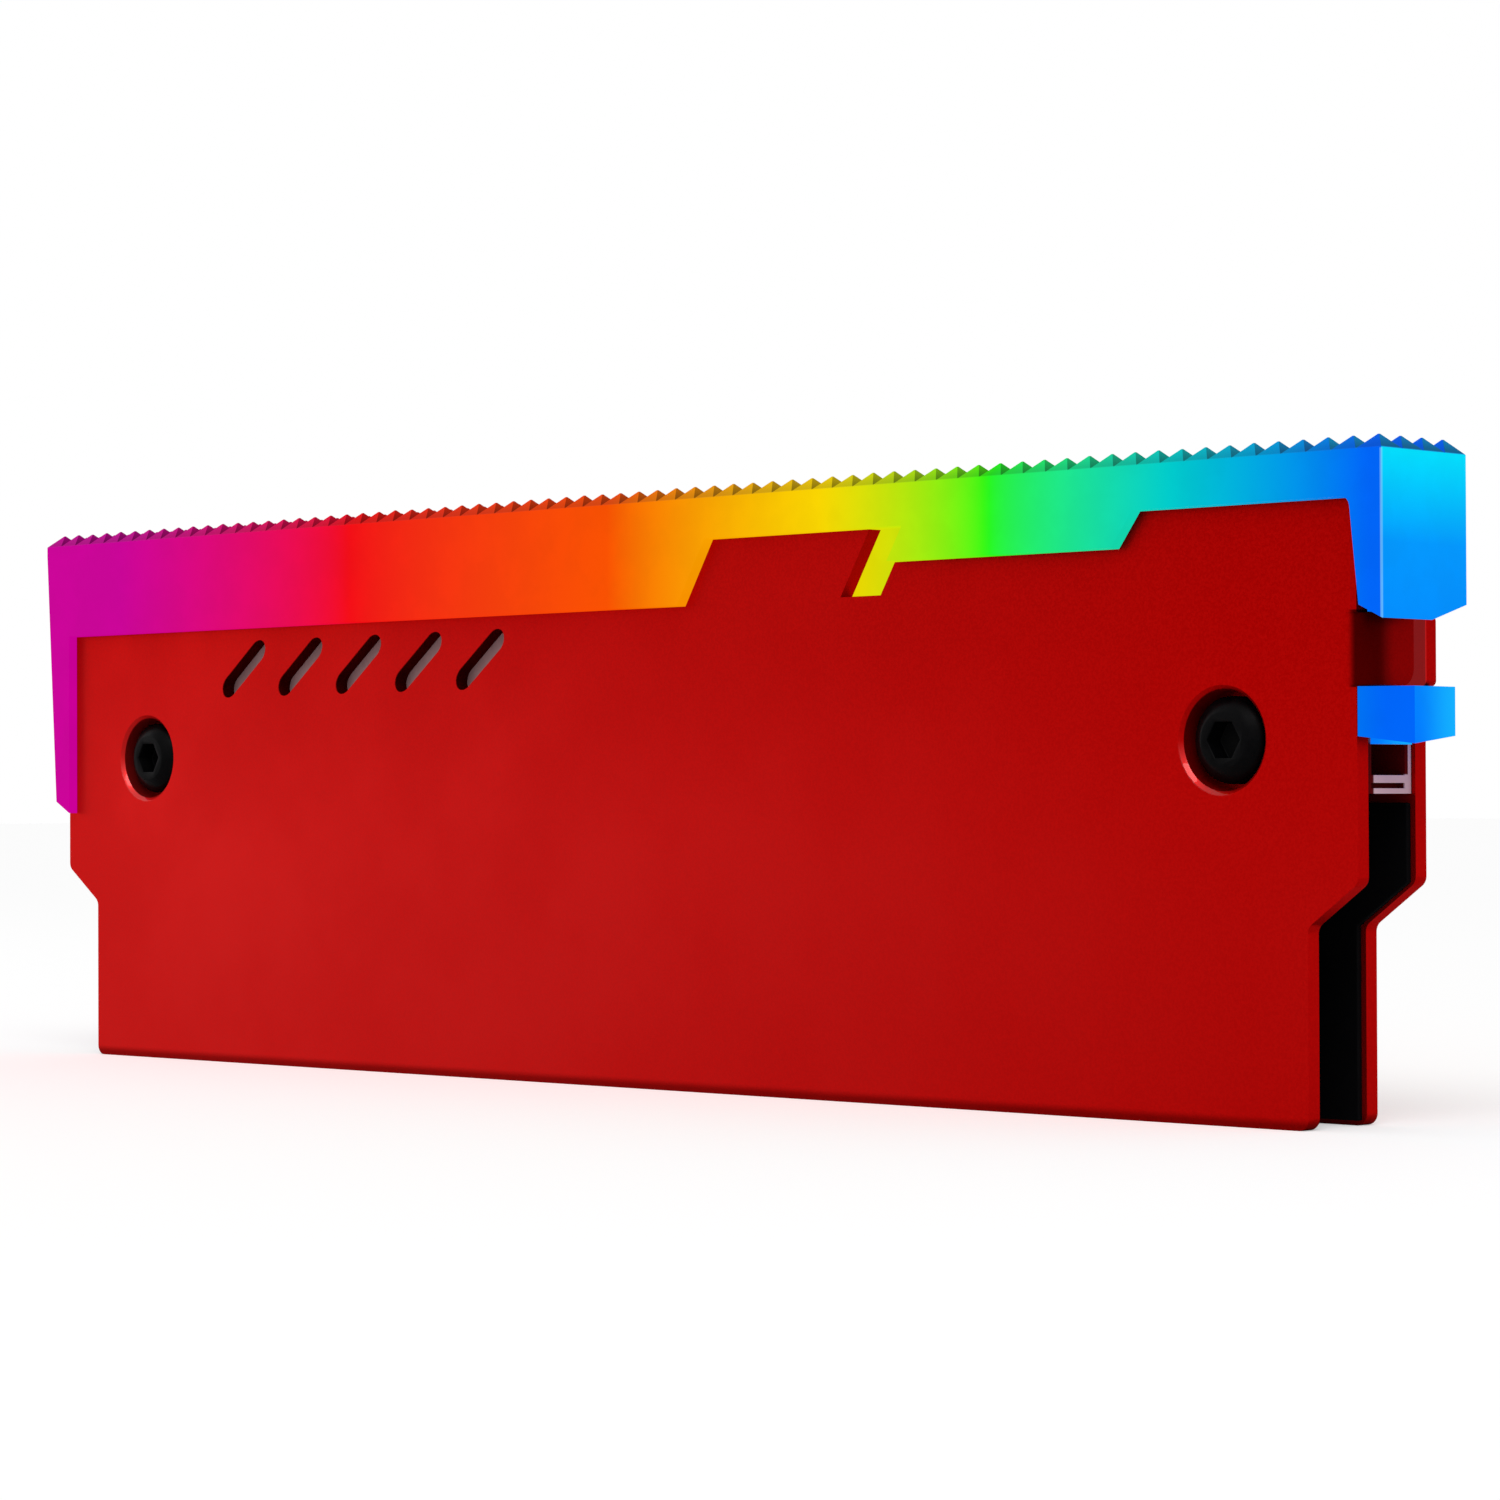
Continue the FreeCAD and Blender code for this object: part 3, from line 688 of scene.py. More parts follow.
STANDOFF_STEEL = Finish(
    "plated_steel", srgb(168, 170, 174), srgb(196, 198, 200), roughness=0.28,
    roughness_spread=0.1, metallic=1.0, grain_scale=5200.0, mottle_scale=500.0,
    stretch=0.2, bump=0.15, bump_depth=0.01 * MM, dust=0.08)
BOARD_MASK = BoardFinish(
    "dark_solder_mask", srgb(14, 18, 22), srgb(20, 25, 30), roughness=0.38,
    roughness_spread=0.08, grain_scale=3000.0, mottle_scale=900.0, bump=0.12)
CHIP_BLACK = Finish(
    "moulded_chip", srgb(18, 18, 19), srgb(30, 30, 31), roughness=0.62,
    roughness_spread=0.08, grain_scale=7000.0, mottle_scale=1200.0, bump=0.3,
    bump_depth=0.015 * MM, dust=0.1)
SOCKET_CREAM = Finish(
    "moulded_socket", srgb(206, 198, 180), srgb(222, 216, 200), roughness=0.5,
    roughness_spread=0.07, grain_scale=5000.0, mottle_scale=800.0, bump=0.2, dust=0.12)
LAMP_CASE = Finish(
    "lamp_case_resin", srgb(222, 220, 214), srgb(238, 237, 233), roughness=0.5,
    roughness_spread=0.06, grain_scale=6000.0, mottle_scale=1100.0, bump=0.15)
LAMP_WINDOW = LampFinish(
    "lamp_window_gel", srgb(236, 220, 140), srgb(240, 230, 170), roughness=0.3,
    roughness_spread=0.05, grain_scale=6000.0, mottle_scale=1500.0, bump=0.05)
TIN_ENDS = Finish(
    "tinned_ends", srgb(188, 190, 190), srgb(208, 208, 206), roughness=0.35,
    roughness_spread=0.1, metallic=1.0, grain_scale=6500.0, mottle_scale=1500.0, bump=0.2)
CERAMIC_TAN = Finish(
    "fired_ceramic", srgb(150, 112, 78), srgb(172, 132, 94), roughness=0.55,
    roughness_spread=0.08, grain_scale=8000.0, mottle_scale=1500.0, bump=0.2)
CONTACT_GOLD = Finish(
    "gold_flash_contact", srgb(212, 170, 92), srgb(228, 190, 112), roughness=0.25,
    roughness_spread=0.07, metallic=1.0, grain_scale=6000.0, mottle_scale=1400.0,
    stretch=3.0, bump=0.1)


def whole_mesh(node: str) -> bmesh.types.BMesh:
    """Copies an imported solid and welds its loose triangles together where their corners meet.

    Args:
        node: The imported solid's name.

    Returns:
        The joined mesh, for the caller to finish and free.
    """
    shape = bmesh.new()
    shape.from_mesh(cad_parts[node].data)
    bmesh.ops.remove_doubles(shape, verts=shape.verts, dist=WELD)
    return shape


def flatten(shape: bmesh.types.BMesh) -> None:
    """Joins neighbours that lie in one plane.

    Args:
        shape: The mesh to change.
    """
    bmesh.ops.dissolve_limit(
        shape, angle_limit=math.radians(0.4), verts=[], edges=list(shape.edges),
        use_dissolve_boundaries=False)


def as_object(shape: bmesh.types.BMesh, name: str) -> bpy.types.Object:
    """Turns a mesh into an object at the origin, with smooth faces.

    Args:
        shape: The mesh, which is freed.
        name: The piece's name.

    Returns:
        The new object.
    """
    mesh = bpy.data.meshes.new(name)
    shape.to_mesh(mesh)
    shape.free()
    mesh.polygons.foreach_set("use_smooth", [True] * len(mesh.polygons))
    piece = bpy.data.objects.new(name, mesh)
    bpy.context.scene.collection.objects.link(piece)
    return piece


def round_edges(piece: bpy.types.Object, width: float, segments: int = 2,
                edge_slot: int = -1) -> None:
    """Rounds a piece's sharp edges.

    Args:
        piece: The piece.
        width: The width of the rounding, in metres.
        segments: How many strips the rounding has.
        edge_slot: The material slot of the rounding, or -1 for its neighbours' own.
    """
    bevel = piece.modifiers.new("edge_round", "BEVEL")
    bevel.width = width
    bevel.segments = segments
    bevel.limit_method = "ANGLE"
    bevel.angle_limit = math.radians(30)
    bevel.miter_outer = "MITER_ARC"
    bevel.material = edge_slot
    steady = piece.modifiers.new("flat_faces", "WEIGHTED_NORMAL")
    steady.mode = "FACE_AREA"
    steady.weight = 100
    steady.keep_sharp = False


def settle(piece: bpy.types.Object, slot: Slot, *nodes: str) -> bpy.types.Object:
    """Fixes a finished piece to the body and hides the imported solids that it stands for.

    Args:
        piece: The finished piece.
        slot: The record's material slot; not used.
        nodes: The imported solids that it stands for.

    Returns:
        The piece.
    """
    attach(piece, BODY)
    if nodes:
        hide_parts(*nodes)
    return piece


def made_plain(piece: bpy.types.Object) -> None:
    """Turns what a piece's modifiers make into its plain mesh.

    Args:
        piece: The piece, whose modifiers are removed.
    """
    graph = bpy.context.evaluated_depsgraph_get()
    mesh = bpy.data.meshes.new_from_object(piece.evaluated_get(graph))
    piece.modifiers.clear()
    piece.data = mesh
    mesh.polygons.foreach_set("use_smooth", [True] * len(mesh.polygons))


class Tree:
    """A Geometry Nodes tree with named inputs."""

    def __init__(self, name: str, inputs: dict[str, str]) -> None:
        """Starts the tree.

        Args:
            name: The tree's name.
            inputs: Name and socket type of each input after the geometry.
        """
        self.tree = bpy.data.node_groups.new(name, "GeometryNodeTree")
        face = self.tree.interface
        face.new_socket(name="Geometry", in_out="INPUT", socket_type="NodeSocketGeometry")
        for key, kind in inputs.items():
            face.new_socket(name=key, in_out="INPUT", socket_type=kind)
        face.new_socket(name="Geometry", in_out="OUTPUT", socket_type="NodeSocketGeometry")
        self.bench = Bench(self.tree)
        self.start = self.bench.add("NodeGroupInput")
        self.end = self.bench.add("NodeGroupOutput")

    def given(self, name: str) -> bpy.types.NodeSocket:
        """Returns the socket of a named input."""
        return self.start.outputs[name]

    def close(self, shape: bpy.types.NodeSocket, weld: float = 0.0) -> None:
        """Ends the tree with plain geometry in the given material.

        Args:
            shape: The geometry with its instances.
            weld: The distance under which corners are joined, or 0.
        """
        plain = self.bench.add("GeometryNodeRealizeInstances", {0: shape}).outputs[0]
        if weld:
            plain = self.bench.add(
                "GeometryNodeMergeByDistance", {"Geometry": plain, "Distance": weld}).outputs[0]
        coated = self.bench.add("GeometryNodeSetMaterial", {
            "Geometry": plain, "Material": self.given("Material")}).outputs[0]
        self.tree.links.new(coated, self.end.inputs[0])

    def apply(self, piece: bpy.types.Object, values: dict[str, object]) -> None:
        """Runs the tree on a piece and keeps its result as a plain mesh.

        Args:
            piece: The piece.
            values: The value of each named input.
        """
        modifier = piece.modifiers.new(self.tree.name, "NODES")
        modifier.node_group = self.tree
        for item in self.tree.interface.items_tree:
            if item.item_type == "SOCKET" and item.in_out == "INPUT" and item.name in values:
                modifier[item.identifier] = values[item.name]
        made_plain(piece)


@dataclass
class PlatePair:
    """The front and rear plates, with their cut edges rounded."""

    edge_width: float = 0.13 * MM
    edge_segments: int = 3
    vent_first: float = -46.3 * MM
    vent_pitch: float = 7.3 * MM
    vent_foot: float = 31.4 * MM
    vent_lean: float = math.radians(44.5)
    seen_lean: float = math.radians(52.5)
    seen_length: float = 1.09
    seen_width: float = 1.1
    names: dict[str, str] = field(default_factory=lambda: {
        "front_plate": "front_spreader_plate", "rear_plate": "rear_spreader_plate"})

    def build(self) -> list[bpy.types.Object]:
        """Builds both plates.

        Returns:
            The plates.
        """
        return [self.plate(node, name) for node, name in self.names.items()]

    def plate(self, node: str, name: str) -> bpy.types.Object:
        """Builds one plate.

        Args:
            node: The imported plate.
            name: The new piece's name.

        Returns:
            The plate.
        """
        shape = whole_mesh(node)
        flatten(shape)
        self.lean_vents(shape)
        piece = as_object(shape, name)
        piece.data.materials.append(PLATE_FACE.material())
        piece.data.materials.append(PLATE_EDGE.material())
        round_edges(piece, self.edge_width, self.edge_segments, edge_slot=1)
        return settle(piece, Slot.PLATE, node)

    def lean_vents(self, shape: bmesh.types.BMesh) -> None:
        """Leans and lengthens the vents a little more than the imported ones.

        Args:
            shape: The plate's mesh.
        """
        last = self.vent_first + 5 * self.vent_pitch
        for vertex in shape.verts:
            x, _, z = vertex.co
            rise = z - self.vent_foot
            if not (self.vent_first - 2 * MM < x < last and -1 * MM < rise < 3.6 * MM):
                continue
            middle = self.vent_first + rise * math.tan(self.vent_lean)
            middle += round((x - middle) / self.vent_pitch) * self.vent_pitch
            foot = middle - rise * math.tan(self.vent_lean)
            rise *= self.seen_length
            vertex.co.x = foot + rise * math.tan(self.seen_lean) + (x - middle) * self.seen_width
            vertex.co.z = self.vent_foot + rise


@dataclass
class LightBar:
    """The moulded bar, with rows of small pyramids on its top."""

    left: float = -70.5 * MM
    right: float = 71.15 * MM
    thickness: float = 9.4 * MM
    top: float = 44.0 * MM
    rows: int = 4
    columns: int = 71
    pyramid_height: float = 1.0 * MM
    tip_share: float = 0.05
    unevenness: float = 0.05
    seed: int = 7
    weld: float = 0.02 * MM
    edge_width: float = 0.05 * MM
    column_wall: float = 68.55 * MM
    column_foot: float = 34.0 * MM
    column_top: float = 41.0 * MM
    column_slant: float = 0.75 * MM
    corner_round: float = 0.6 * MM

    def build(self) -> list[bpy.types.Object]:
        """Builds the bar.

        Returns:
            The bar, as a list of one.
        """
        shape = whole_mesh("light_bar")
        crown = [face for face in shape.faces
                 if face.calc_center_median().z > self.top + self.weld]
        bmesh.ops.delete(shape, geom=crown, context="FACES")
        flatten(shape)
        self.slant_column(shape)
        piece = as_object(shape, "lit_bar")
        self.pyramids().apply(piece, {
            "Left": self.left, "Right": self.right, "Thickness": self.thickness,
            "Top": self.top, "Rows": self.rows, "Columns": self.columns,
            "Height": self.pyramid_height, "Tip": self.tip_share,
            "Unevenness": self.unevenness, "Seed": self.seed,
            "Material": BAR_PLASTIC.material()})
        round_edges(piece, self.edge_width, 2)
        return [settle(piece, Slot.BAR, "light_bar")]

    def slant_column(self, shape: bmesh.types.BMesh) -> None:
        """Slants the inner side of the right end's column and rounds the corner above it.

        Args:
            shape: The bar's mesh.
        """
        near = 0.02 * MM
        on_wall = {vertex for vertex in shape.verts if abs(vertex.co.x - self.column_wall) < near}
        foot = [vertex for vertex in on_wall if abs(vertex.co.z - self.column_foot) < near]
        for vertex in foot:
            vertex.co.x += self.column_slant
        head = {vertex for vertex in on_wall if abs(vertex.co.z - self.column_top) < near}
        edges = [edge for edge in shape.edges if set(edge.verts) <= head]
        LOG.info("column: %d foot corners, %d edges rounded", len(foot), len(edges))
        bmesh.ops.bevel(shape, geom=edges, offset=self.corner_round, segments=4, profile=0.5,
                        affect="EDGES")

    def pyramids(self) -> Tree:
        """Builds the tree that stands blunt pyramids on the bar's top.

        Returns:
            The tree.
        """
        tree = Tree("pyramid_rows", {
            "Left": "NodeSocketFloat", "Right": "NodeSocketFloat",
            "Thickness": "NodeSocketFloat", "Top": "NodeSocketFloat",
            "Rows": "NodeSocketInt", "Columns": "NodeSocketInt",
            "Height": "NodeSocketFloat", "Tip": "NodeSocketFloat",
            "Unevenness": "NodeSocketFloat", "Seed": "NodeSocketInt",
            "Material": "NodeSocketMaterial"})
        bench = tree.bench
        length = bench.math("SUBTRACT", tree.given("Right"), tree.given("Left"))
        step = bench.math("DIVIDE", length, tree.given("Columns"))
        across = bench.math("DIVIDE", tree.given("Thickness"), tree.given("Rows"))
        grid = bench.add("GeometryNodeMeshGrid", {
            "Size X": bench.math("SUBTRACT", length, step),
            "Size Y": bench.math("SUBTRACT", tree.given("Thickness"), across),
            "Vertices X": tree.given("Columns"), "Vertices Y": tree.given("Rows")})
        middle = bench.math("MULTIPLY", bench.math(
            "ADD", tree.given("Left"), tree.given("Right")), 0.5)
        centre = bench.add("ShaderNodeCombineXYZ", {0: middle, 2: tree.given("Top")})
        points = bench.add("GeometryNodeTransform", {
            "Geometry": grid.outputs[0], "Translation": centre.outputs[0]})
        cone = bench.add("GeometryNodeMeshCone", {
            "Vertices": 4, "Radius Top": bench.math("MULTIPLY", tree.given("Tip"), 0.7071068),
            "Radius Bottom": 0.7071068, "Depth": 1.0}, fill_type="NGON")
        open_cone = bench.add("GeometryNodeDeleteGeometry", {
            "Geometry": cone.outputs["Mesh"], "Selection": cone.outputs["Bottom"]},
            domain="FACE")
        square = bench.add("GeometryNodeTransform", {
            "Geometry": open_cone.outputs[0], "Rotation": (0.0, 0.0, math.pi / 4)})
        uneven = bench.add("FunctionNodeRandomValue", {
            2: bench.math("SUBTRACT", 1.0, tree.given("Unevenness")), 3: 1.0,
            "Seed": tree.given("Seed")}, data_type="FLOAT")
        tall = bench.math("MULTIPLY", tree.given("Height"), uneven.outputs[1])
        size = bench.add("ShaderNodeCombineXYZ", {0: step, 1: across, 2: tall})
        stood = bench.add("GeometryNodeInstanceOnPoints", {
            "Points": points.outputs[0], "Instance": square.outputs[0],
            "Scale": size.outputs[0]})
        both = bench.add("GeometryNodeJoinGeometry")
        bench.join(stood.outputs[0], both.inputs[0])
        bench.join(tree.given("Geometry"), both.inputs[0])
        tree.close(both.outputs[0], self.weld)
        return tree


@dataclass
class ScrewSet:
    """The two socket screws, with a knurled rim, and the standoffs that they turn into."""

    rim_radius: float = 2.85 * MM
    rim_front: float = -1.85 * MM
    rib_height: float = 2.0 * MM
    rib_size: float = 0.11 * MM
    ribs: int = 60
    head_edge: float = 0.07 * MM
    standoff_edge: float = 0.08 * MM
    places: dict[str, str] = field(default_factory=lambda: {
        "left_screw": "left_socket_screw", "right_screw": "right_socket_screw"})
    standoffs: dict[str, str] = field(default_factory=lambda: {
        "left_standoff": "left_threaded_standoff",
        "right_standoff": "right_threaded_standoff"})

    def build(self) -> list[bpy.types.Object]:
        """Builds the screws and the standoffs.

        Returns:
            The pieces.
        """
        tree = self.knurl()
        made = [self.screw(node, name, tree) for node, name in self.places.items()]
        for node, name in self.standoffs.items():
            made.append(plain_part(node, name, Slot.STEEL, STANDOFF_STEEL, self.standoff_edge))
        return made

    def screw(self, node: str, name: str, tree: Tree) -> bpy.types.Object:
        """Builds one screw.

        Args:
            node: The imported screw.
            name: The new piece's name.
            tree: The knurl's tree.

        Returns:
            The screw.
        """
        low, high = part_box(node)
        shape = whole_mesh(node)
        flatten(shape)
        bmesh.ops.bevel(
            shape, geom=[edge for edge in shape.edges
                         if len(edge.link_faces) == 2
                         and edge.calc_face_angle(0.0) > math.radians(30)],
            offset=self.head_edge, segments=2, profile=0.5, affect="EDGES")
        piece = as_object(shape, name)
        centre = Vector(((low.x + high.x) / 2, self.rim_front, (low.z + high.z) / 2))
        tree.apply(piece, {
            "Centre": centre, "Ribs": self.ribs, "Ring Radius": self.rim_radius,
            "Rib Size": self.rib_size, "Rib Height": self.rib_height,
            "Material": SCREW_BLACK.material()})
        return settle(piece, Slot.SCREW, node)

    def knurl(self) -> Tree:
        """Builds the tree that lays ribs round a screw head.

        Returns:
            The tree.
        """
        tree = Tree("rim_knurl", {
            "Centre": "NodeSocketVector", "Ribs": "NodeSocketInt",
            "Ring Radius": "NodeSocketFloat", "Rib Size": "NodeSocketFloat",
            "Rib Height": "NodeSocketFloat", "Material": "NodeSocketMaterial"})
        bench = tree.bench
        ring = bench.add("GeometryNodeMeshCircle", {
            "Vertices": tree.given("Ribs"), "Radius": tree.given("Ring Radius")})
        number = bench.add("GeometryNodeInputIndex").outputs[0]
        step = bench.math("DIVIDE", 2 * math.pi, tree.given("Ribs"))
        turn = bench.math("ADD", bench.math("MULTIPLY", number, step), math.pi / 4)
        facing = bench.add("ShaderNodeCombineXYZ", {2: turn})
        size = bench.add("ShaderNodeCombineXYZ", {
            0: tree.given("Rib Size"), 1: tree.given("Rib Size"), 2: tree.given("Rib Height")})
        rib = bench.add("GeometryNodeMeshCube", {"Size": size.outputs[0]})
        laid = bench.add("GeometryNodeInstanceOnPoints", {
            "Points": ring.outputs[0], "Instance": rib.outputs[0],
            "Rotation": facing.outputs[0]})
        placed = bench.add("GeometryNodeTransform", {
            "Geometry": laid.outputs[0], "Translation": tree.given("Centre"),
            "Rotation": (math.pi / 2, 0.0, 0.0)})
        both = bench.add("GeometryNodeJoinGeometry")
        bench.join(placed.outputs[0], both.inputs[0])
        bench.join(tree.given("Geometry"), both.inputs[0])
        tree.close(both.outputs[0])
        return tree


def plain_part(node: str, name: str, slot: Slot, finish: Finish,
               edge: float) -> bpy.types.Object:
    """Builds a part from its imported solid, with rounded edges.

    Args:
        node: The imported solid.
        name: The new piece's name.
        slot: The record's material slot.
        finish: The part's finish.
        edge: The width of the rounding.

    Returns:
        The part.
    """
    shape = whole_mesh(node)
    flatten(shape)
    piece = as_object(shape, name)
    piece.data.materials.append(finish.material())
    round_edges(piece, edge, 2)
    return settle(piece, slot, node)


@dataclass
class PadPair:
    """The silicone pads on the inner faces of the plates."""

    edge_width: float = 0.1 * MM

    def build(self) -> list[bpy.types.Object]:
        """Builds both pads.

        Returns:
            The pads.
        """
        return [plain_part(f"{side}_thermal_pad", f"{side}_silicone_pad", Slot.PAD,
                           PAD_RUBBER, self.edge_width) for side in ("front", "rear")]


@dataclass
class LightingBoard:
    """The board inside the bar, with its lamps, capacitors, chip and power socket."""

    lamp_count: int = 10
    capacitor_count: int = 5
    wall: float = 0.04 * MM
    window_radius: float = 0.78 * MM
    window_rise: float = 0.05 * MM
    end_share: float = 0.22
    fine_edge: float = 0.05 * MM

    def build(self) -> list[bpy.types.Object]:
        """Builds the board and all that it carries.

        Returns:
            The pieces.
        """
        made = [
            plain_part("led_board", "lighting_board", Slot.BOARD, BOARD_MASK, self.fine_edge),
            plain_part("control_chip", "moulded_control_chip", Slot.PLASTIC, CHIP_BLACK,
                       self.fine_edge),
            plain_part("power_socket", "board_power_socket", Slot.PLASTIC, SOCKET_CREAM,
                       self.fine_edge * 2)]
        for number in (1, 2, 3):
            made.append(plain_part(
                f"socket_contact_{number}", f"power_contact_{number}", Slot.CONTACT,
                CONTACT_GOLD, self.fine_edge))
        return made + self.lamps() + self.capacitors()

    @cached_property
    def row(self) -> Tree:
        """Builds the tree that repeats a part in a straight row.

        Returns:
            The tree.
        """
        tree = Tree("row_along_board", {
            "Count": "NodeSocketInt", "Pitch": "NodeSocketVector",
            "Material": "NodeSocketMaterial"})
        bench = tree.bench
        line = bench.add("GeometryNodeMeshLine", {
            "Count": tree.given("Count"), "Offset": tree.given("Pitch")})
        laid = bench.add("GeometryNodeInstanceOnPoints", {
            "Points": line.outputs[0], "Instance": tree.given("Geometry")})
        tree.close(laid.outputs[0])
        return tree

    def in_row(self, shape: bmesh.types.BMesh, name: str, count: int, pitch: float,
               finish: Finish) -> bpy.types.Object:
        """Repeats a part in a row.

        Args:
            shape: The first part, in its place.
            name: The piece's name.
            count: How many parts.
            pitch: The distance from one to the next.
            finish: Their finish.

        Returns:
            The row, as one piece.
        """
        piece = as_object(shape, name)
        self.row.apply(piece, {
            "Count": count, "Pitch": Vector((pitch, 0.0, 0.0)), "Material": finish.material()})
        piece.data.polygons.foreach_set("use_smooth", [False] * len(piece.data.polygons))
        return piece

    def block(self, low: Vector, high: Vector, edge: float) -> bmesh.types.BMesh:
        """Makes a block with rounded edges.

        Args:
            low: Its lowest corner.
            high: Its highest corner.
            edge: The width of the rounding.

        Returns:
            The block.
        """
        shape = bmesh.new()
        size = high - low
        bmesh.ops.create_cube(shape, size=1.0, matrix=(
            Matrix.Translation((low + high) / 2) @ Matrix.Diagonal((*size, 1.0))))
        bmesh.ops.bevel(shape, geom=list(shape.edges), offset=edge, segments=1,
                        profile=0.5, affect="EDGES")
        return shape

    @staticmethod
    def measured(stem: str, count: int) -> tuple[list[str], Vector, Vector, float]:
        """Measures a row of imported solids.

        Args:
            stem: The solids' name before the number.
            count: How many there are.

        Returns:
            Their names, the first one's lowest and highest corners and the pitch.
        """
        nodes = [f"{stem}_{number:02d}" for number in range(1, count + 1)]
        low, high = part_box(nodes[0])
        return nodes, low, high, (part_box(nodes[-1])[0].x - low.x) / (count - 1)

    def lamps(self) -> list[bpy.types.Object]:
        """Builds the row of lamps.

        Returns:
            Their cases and windows.
        """
        nodes, low, high, pitch = self.measured("led", self.lamp_count)
        case_top = high - Vector((0.0, 0.0, self.window_rise))
        cases = self.in_row(self.block(low, case_top, self.wall), "lamp_cases",
                            self.lamp_count, pitch, LAMP_CASE)
        window = bmesh.new()
        middle = (low + high) / 2
        bmesh.ops.create_cone(
            window, cap_ends=True, segments=24, radius1=self.window_radius,
            radius2=self.window_radius * 0.92, depth=self.window_rise * 2,
            matrix=Matrix.Translation((middle.x, middle.y, high.z - self.window_rise)))
        windows = self.in_row(window, "lamp_windows", self.lamp_count, pitch, LAMP_WINDOW)
        settle(cases, Slot.LAMP, *nodes)
        settle(windows, Slot.LAMP)
        return [cases, windows]

    def capacitors(self) -> list[bpy.types.Object]:
        """Builds the row of capacitors.

        Returns:
            Their bodies and tinned ends.
        """
        nodes, low, high, pitch = self.measured("capacitor", self.capacitor_count)
        inset = Vector((0.0, self.wall, 0.0))
        lift = Vector((0.0, self.wall, self.wall))
        length = (high.x - low.x) * self.end_share
        along = Vector((length, 0.0, 0.0))
        bodies = self.in_row(
            self.block(low + along + inset, high - along - lift, self.wall),
            "capacitor_bodies", self.capacitor_count, pitch, CERAMIC_TAN)
        ends = self.block(low, Vector((low.x + length, high.y, high.z)), self.wall)
        other = self.block(Vector((high.x - length, low.y, low.z)), high, self.wall)
        joined = bpy.data.meshes.new("capacitor_end")
        other.to_mesh(joined)
        other.free()
        ends.from_mesh(joined)
        bpy.data.meshes.remove(joined)
        tins = self.in_row(ends, "capacitor_ends", self.capacitor_count, pitch, TIN_ENDS)
        settle(bodies, Slot.CAPACITOR, *nodes)
        settle(tins, Slot.CAPACITOR)
        return [bodies, tins]


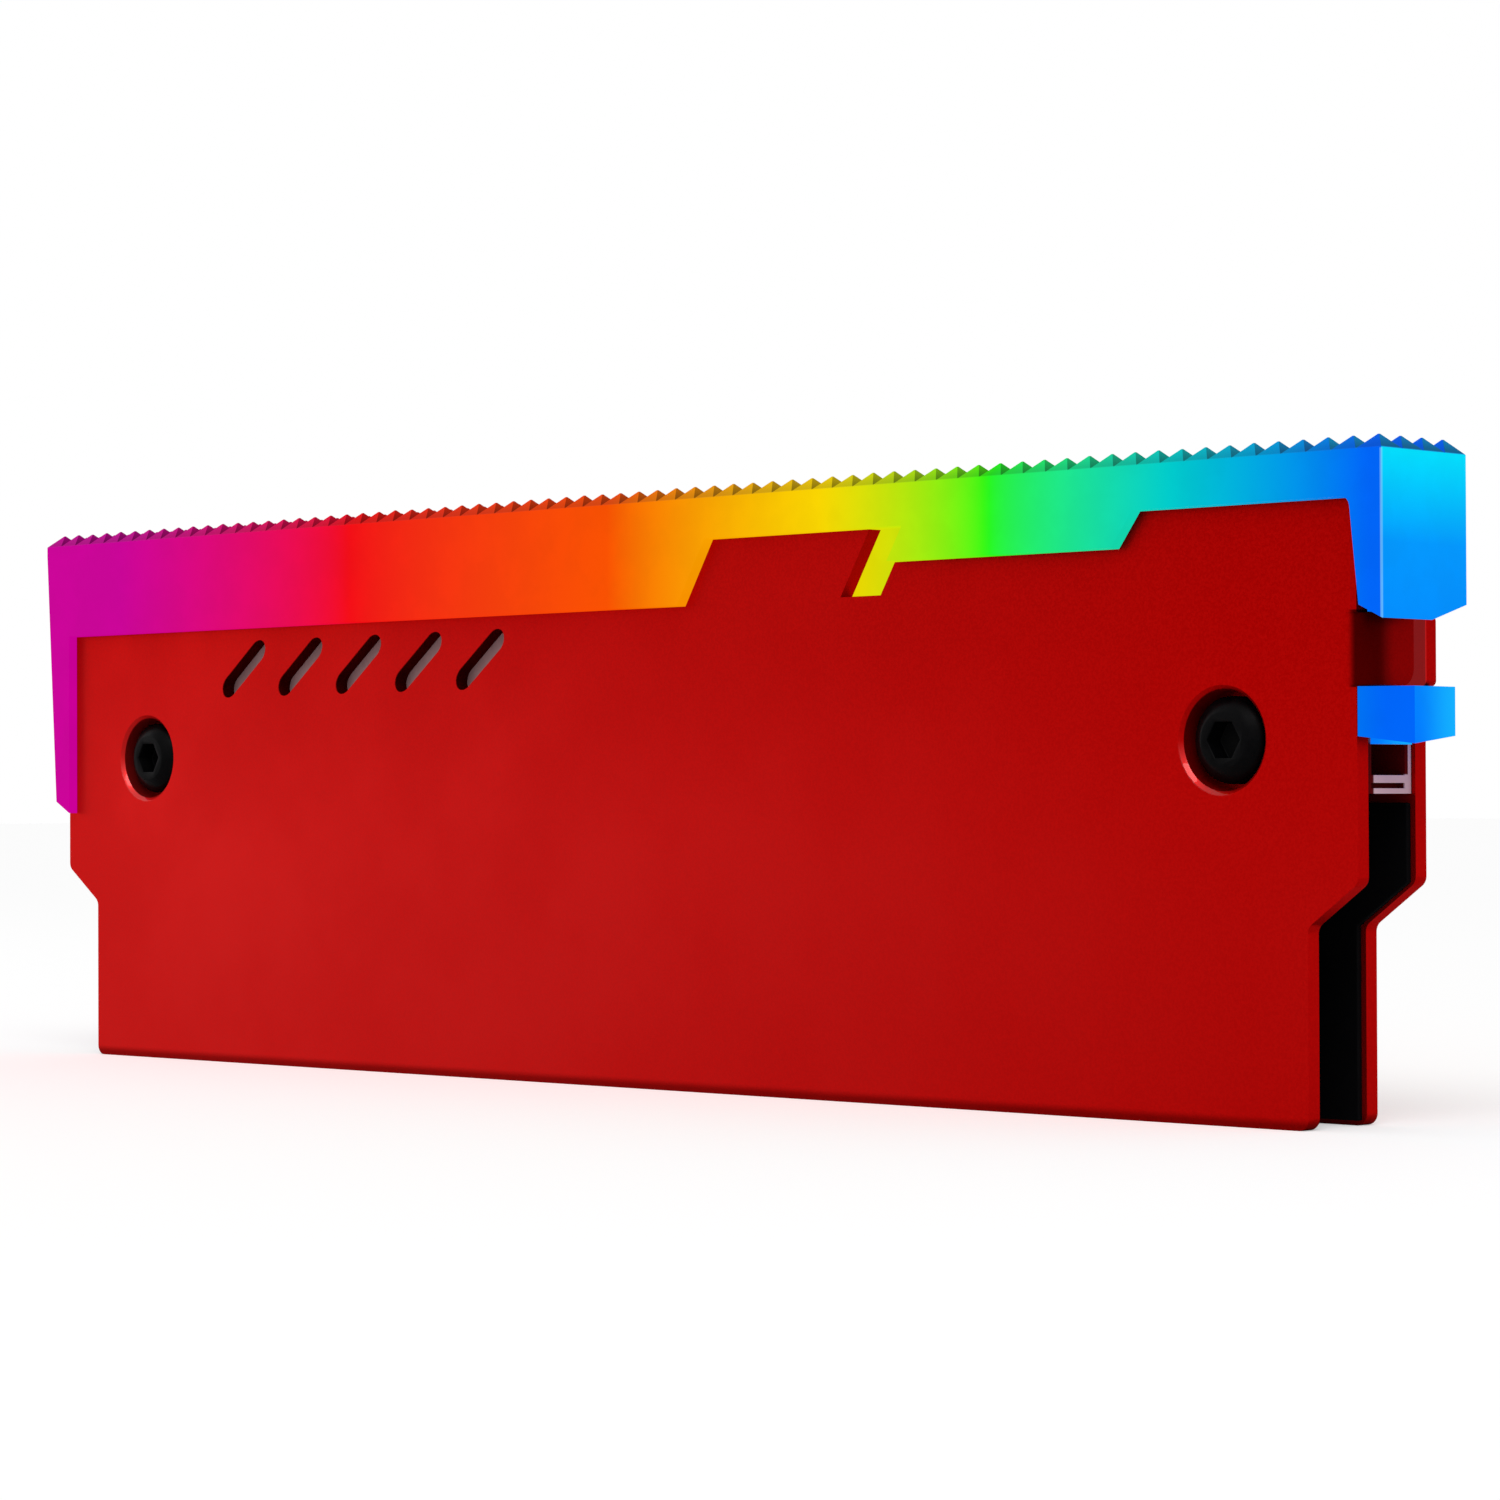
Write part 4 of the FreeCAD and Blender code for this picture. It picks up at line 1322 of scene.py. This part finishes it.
@dataclass
class Studio:
    """A pale floor, soft lamps and a white surround."""

    floor_size: float = 8.0
    floor_shade: float = 0.72
    floor_glow: float = 0.378
    surround: float = 0.55
    sun_strength: float = 1.1
    sun_spread: float = 34.0
    sun_from: tuple[float, float, float] = (0.55, -0.75, 1.15)

    def build(self) -> None:
        """Builds the floor, the lamps and the world."""
        self.floor()
        self.world()
        self.sun()
        self.softbox("left_softbox", (-0.42, -0.2, 0.16), (-0.02, 0.0, 0.02), 0.3, 0.15)
        self.softbox("right_softbox", (0.3, -0.12, 0.3), (0.05, 0.0, 0.025), 0.16, 0.08)

    def floor(self) -> None:
        """Makes the floor, a little glowing to the camera so that it reads white."""
        shape = bmesh.new()
        bmesh.ops.create_grid(shape, x_segments=1, y_segments=1, size=self.floor_size / 2)
        floor = as_object(shape, "studio_floor")
        material = bpy.data.materials.new("studio_floor")
        material.use_nodes = True
        bench = Bench(material.node_tree)
        shade = (self.floor_shade,) * 3 + (1.0,)
        matt = bench.add("ShaderNodeBsdfDiffuse", {"Color": shade})
        path = bench.add("ShaderNodeLightPath")
        glow = bench.add("ShaderNodeEmission", {
            "Color": WHITE, "Strength": bench.math(
                "MULTIPLY", path.outputs["Is Camera Ray"], self.floor_glow)})
        both = bench.add("ShaderNodeAddShader", {0: matt.outputs[0], 1: glow.outputs[0]})
        bench.add("ShaderNodeOutputMaterial", {0: both.outputs[0]})
        floor.data.materials.append(material)

    def world(self) -> None:
        """Makes the white surround, softer as light than as a background."""
        world = bpy.data.worlds.new("white_surround")
        world.use_nodes = True
        bench = Bench(world.node_tree)
        path = bench.add("ShaderNodeLightPath").outputs
        seen = bench.math("MAXIMUM", path["Is Camera Ray"], bench.math(
            "MAXIMUM", path["Is Glossy Ray"], path["Is Transmission Ray"]))
        level = bench.fade(seen, 0.0, 1.0, self.surround, 1.0, way="LINEAR")
        sky = bench.add("ShaderNodeBackground", {"Color": WHITE, "Strength": level})
        bench.add("ShaderNodeOutputWorld", {0: sky.outputs[0]})
        bpy.context.scene.world = world

    def sun(self) -> None:
        """Hangs the wide key lamp."""
        lamp = bpy.data.lights.new("key_lamp", "SUN")
        lamp.energy = self.sun_strength
        lamp.angle = math.radians(self.sun_spread)
        holder = bpy.data.objects.new("key_lamp", lamp)
        holder.rotation_mode = "QUATERNION"
        holder.rotation_quaternion = (-Vector(self.sun_from)).to_track_quat("-Z", "Y")
        bpy.context.scene.collection.objects.link(holder)

    def softbox(self, name: str, place: tuple[float, float, float],
                aim: tuple[float, float, float], size: float, power: float) -> None:
        """Hangs a softbox that the camera doesn't see.

        Args:
            name: The lamp's name.
            place: Where it hangs.
            aim: What it points at.
            size: Its side.
            power: Its power in watts.
        """
        lamp = bpy.data.lights.new(name, "AREA")
        lamp.size = size
        lamp.energy = power
        holder = bpy.data.objects.new(name, lamp)
        holder.location = place
        holder.rotation_mode = "QUATERNION"
        holder.rotation_quaternion = (Vector(aim) - Vector(place)).to_track_quat("-Z", "Y")
        holder.visible_camera = False
        bpy.context.scene.collection.objects.link(holder)


@dataclass
class PhotoCamera:
    """The camera at the photograph's place, low in front of the right end."""

    lens: float = 99.95
    place: tuple[float, float, float] = (226.893 * MM, -222.778 * MM, 21.419 * MM)
    yaw: float = 0.77099
    pitch: float = -0.01284
    roll: float = 0.0038

    def build(self) -> None:
        """Makes the camera and gives it to the scene."""
        ahead = Vector((-math.sin(self.yaw) * math.cos(self.pitch),
                        math.cos(self.yaw) * math.cos(self.pitch), -math.sin(self.pitch)))
        right = Vector((math.cos(self.yaw), math.sin(self.yaw), 0.0))
        down = ahead.cross(right)
        across = math.cos(self.roll) * right + math.sin(self.roll) * down
        below = -math.sin(self.roll) * right + math.cos(self.roll) * down
        turned = Matrix((across, -below, -ahead)).transposed().to_4x4()
        camera = bpy.data.cameras.new("photo_camera")
        camera.lens = self.lens
        camera.clip_start = 0.01
        camera.clip_end = 50.0
        holder = bpy.data.objects.new("photo_camera", camera)
        holder.matrix_world = Matrix.Translation(self.place) @ turned
        bpy.context.scene.collection.objects.link(holder)
        bpy.context.scene.camera = holder


def main() -> None:
    """Builds each sub-assembly in order, then the studio and the camera."""
    logging.basicConfig(level=logging.INFO, format="%(message)s")
    for assembly in (PlatePair(), LightBar(), ScrewSet(), PadPair(), LightingBoard()):
        for piece in assembly.build():
            LOG.info("%s: %s, %d faces", type(assembly).__name__, piece.name,
                     len(piece.data.polygons))
    Studio().build()
    PhotoCamera().build()
    bpy.context.scene.view_settings.view_transform = "Standard"


if __name__ == "__main__":
    main()
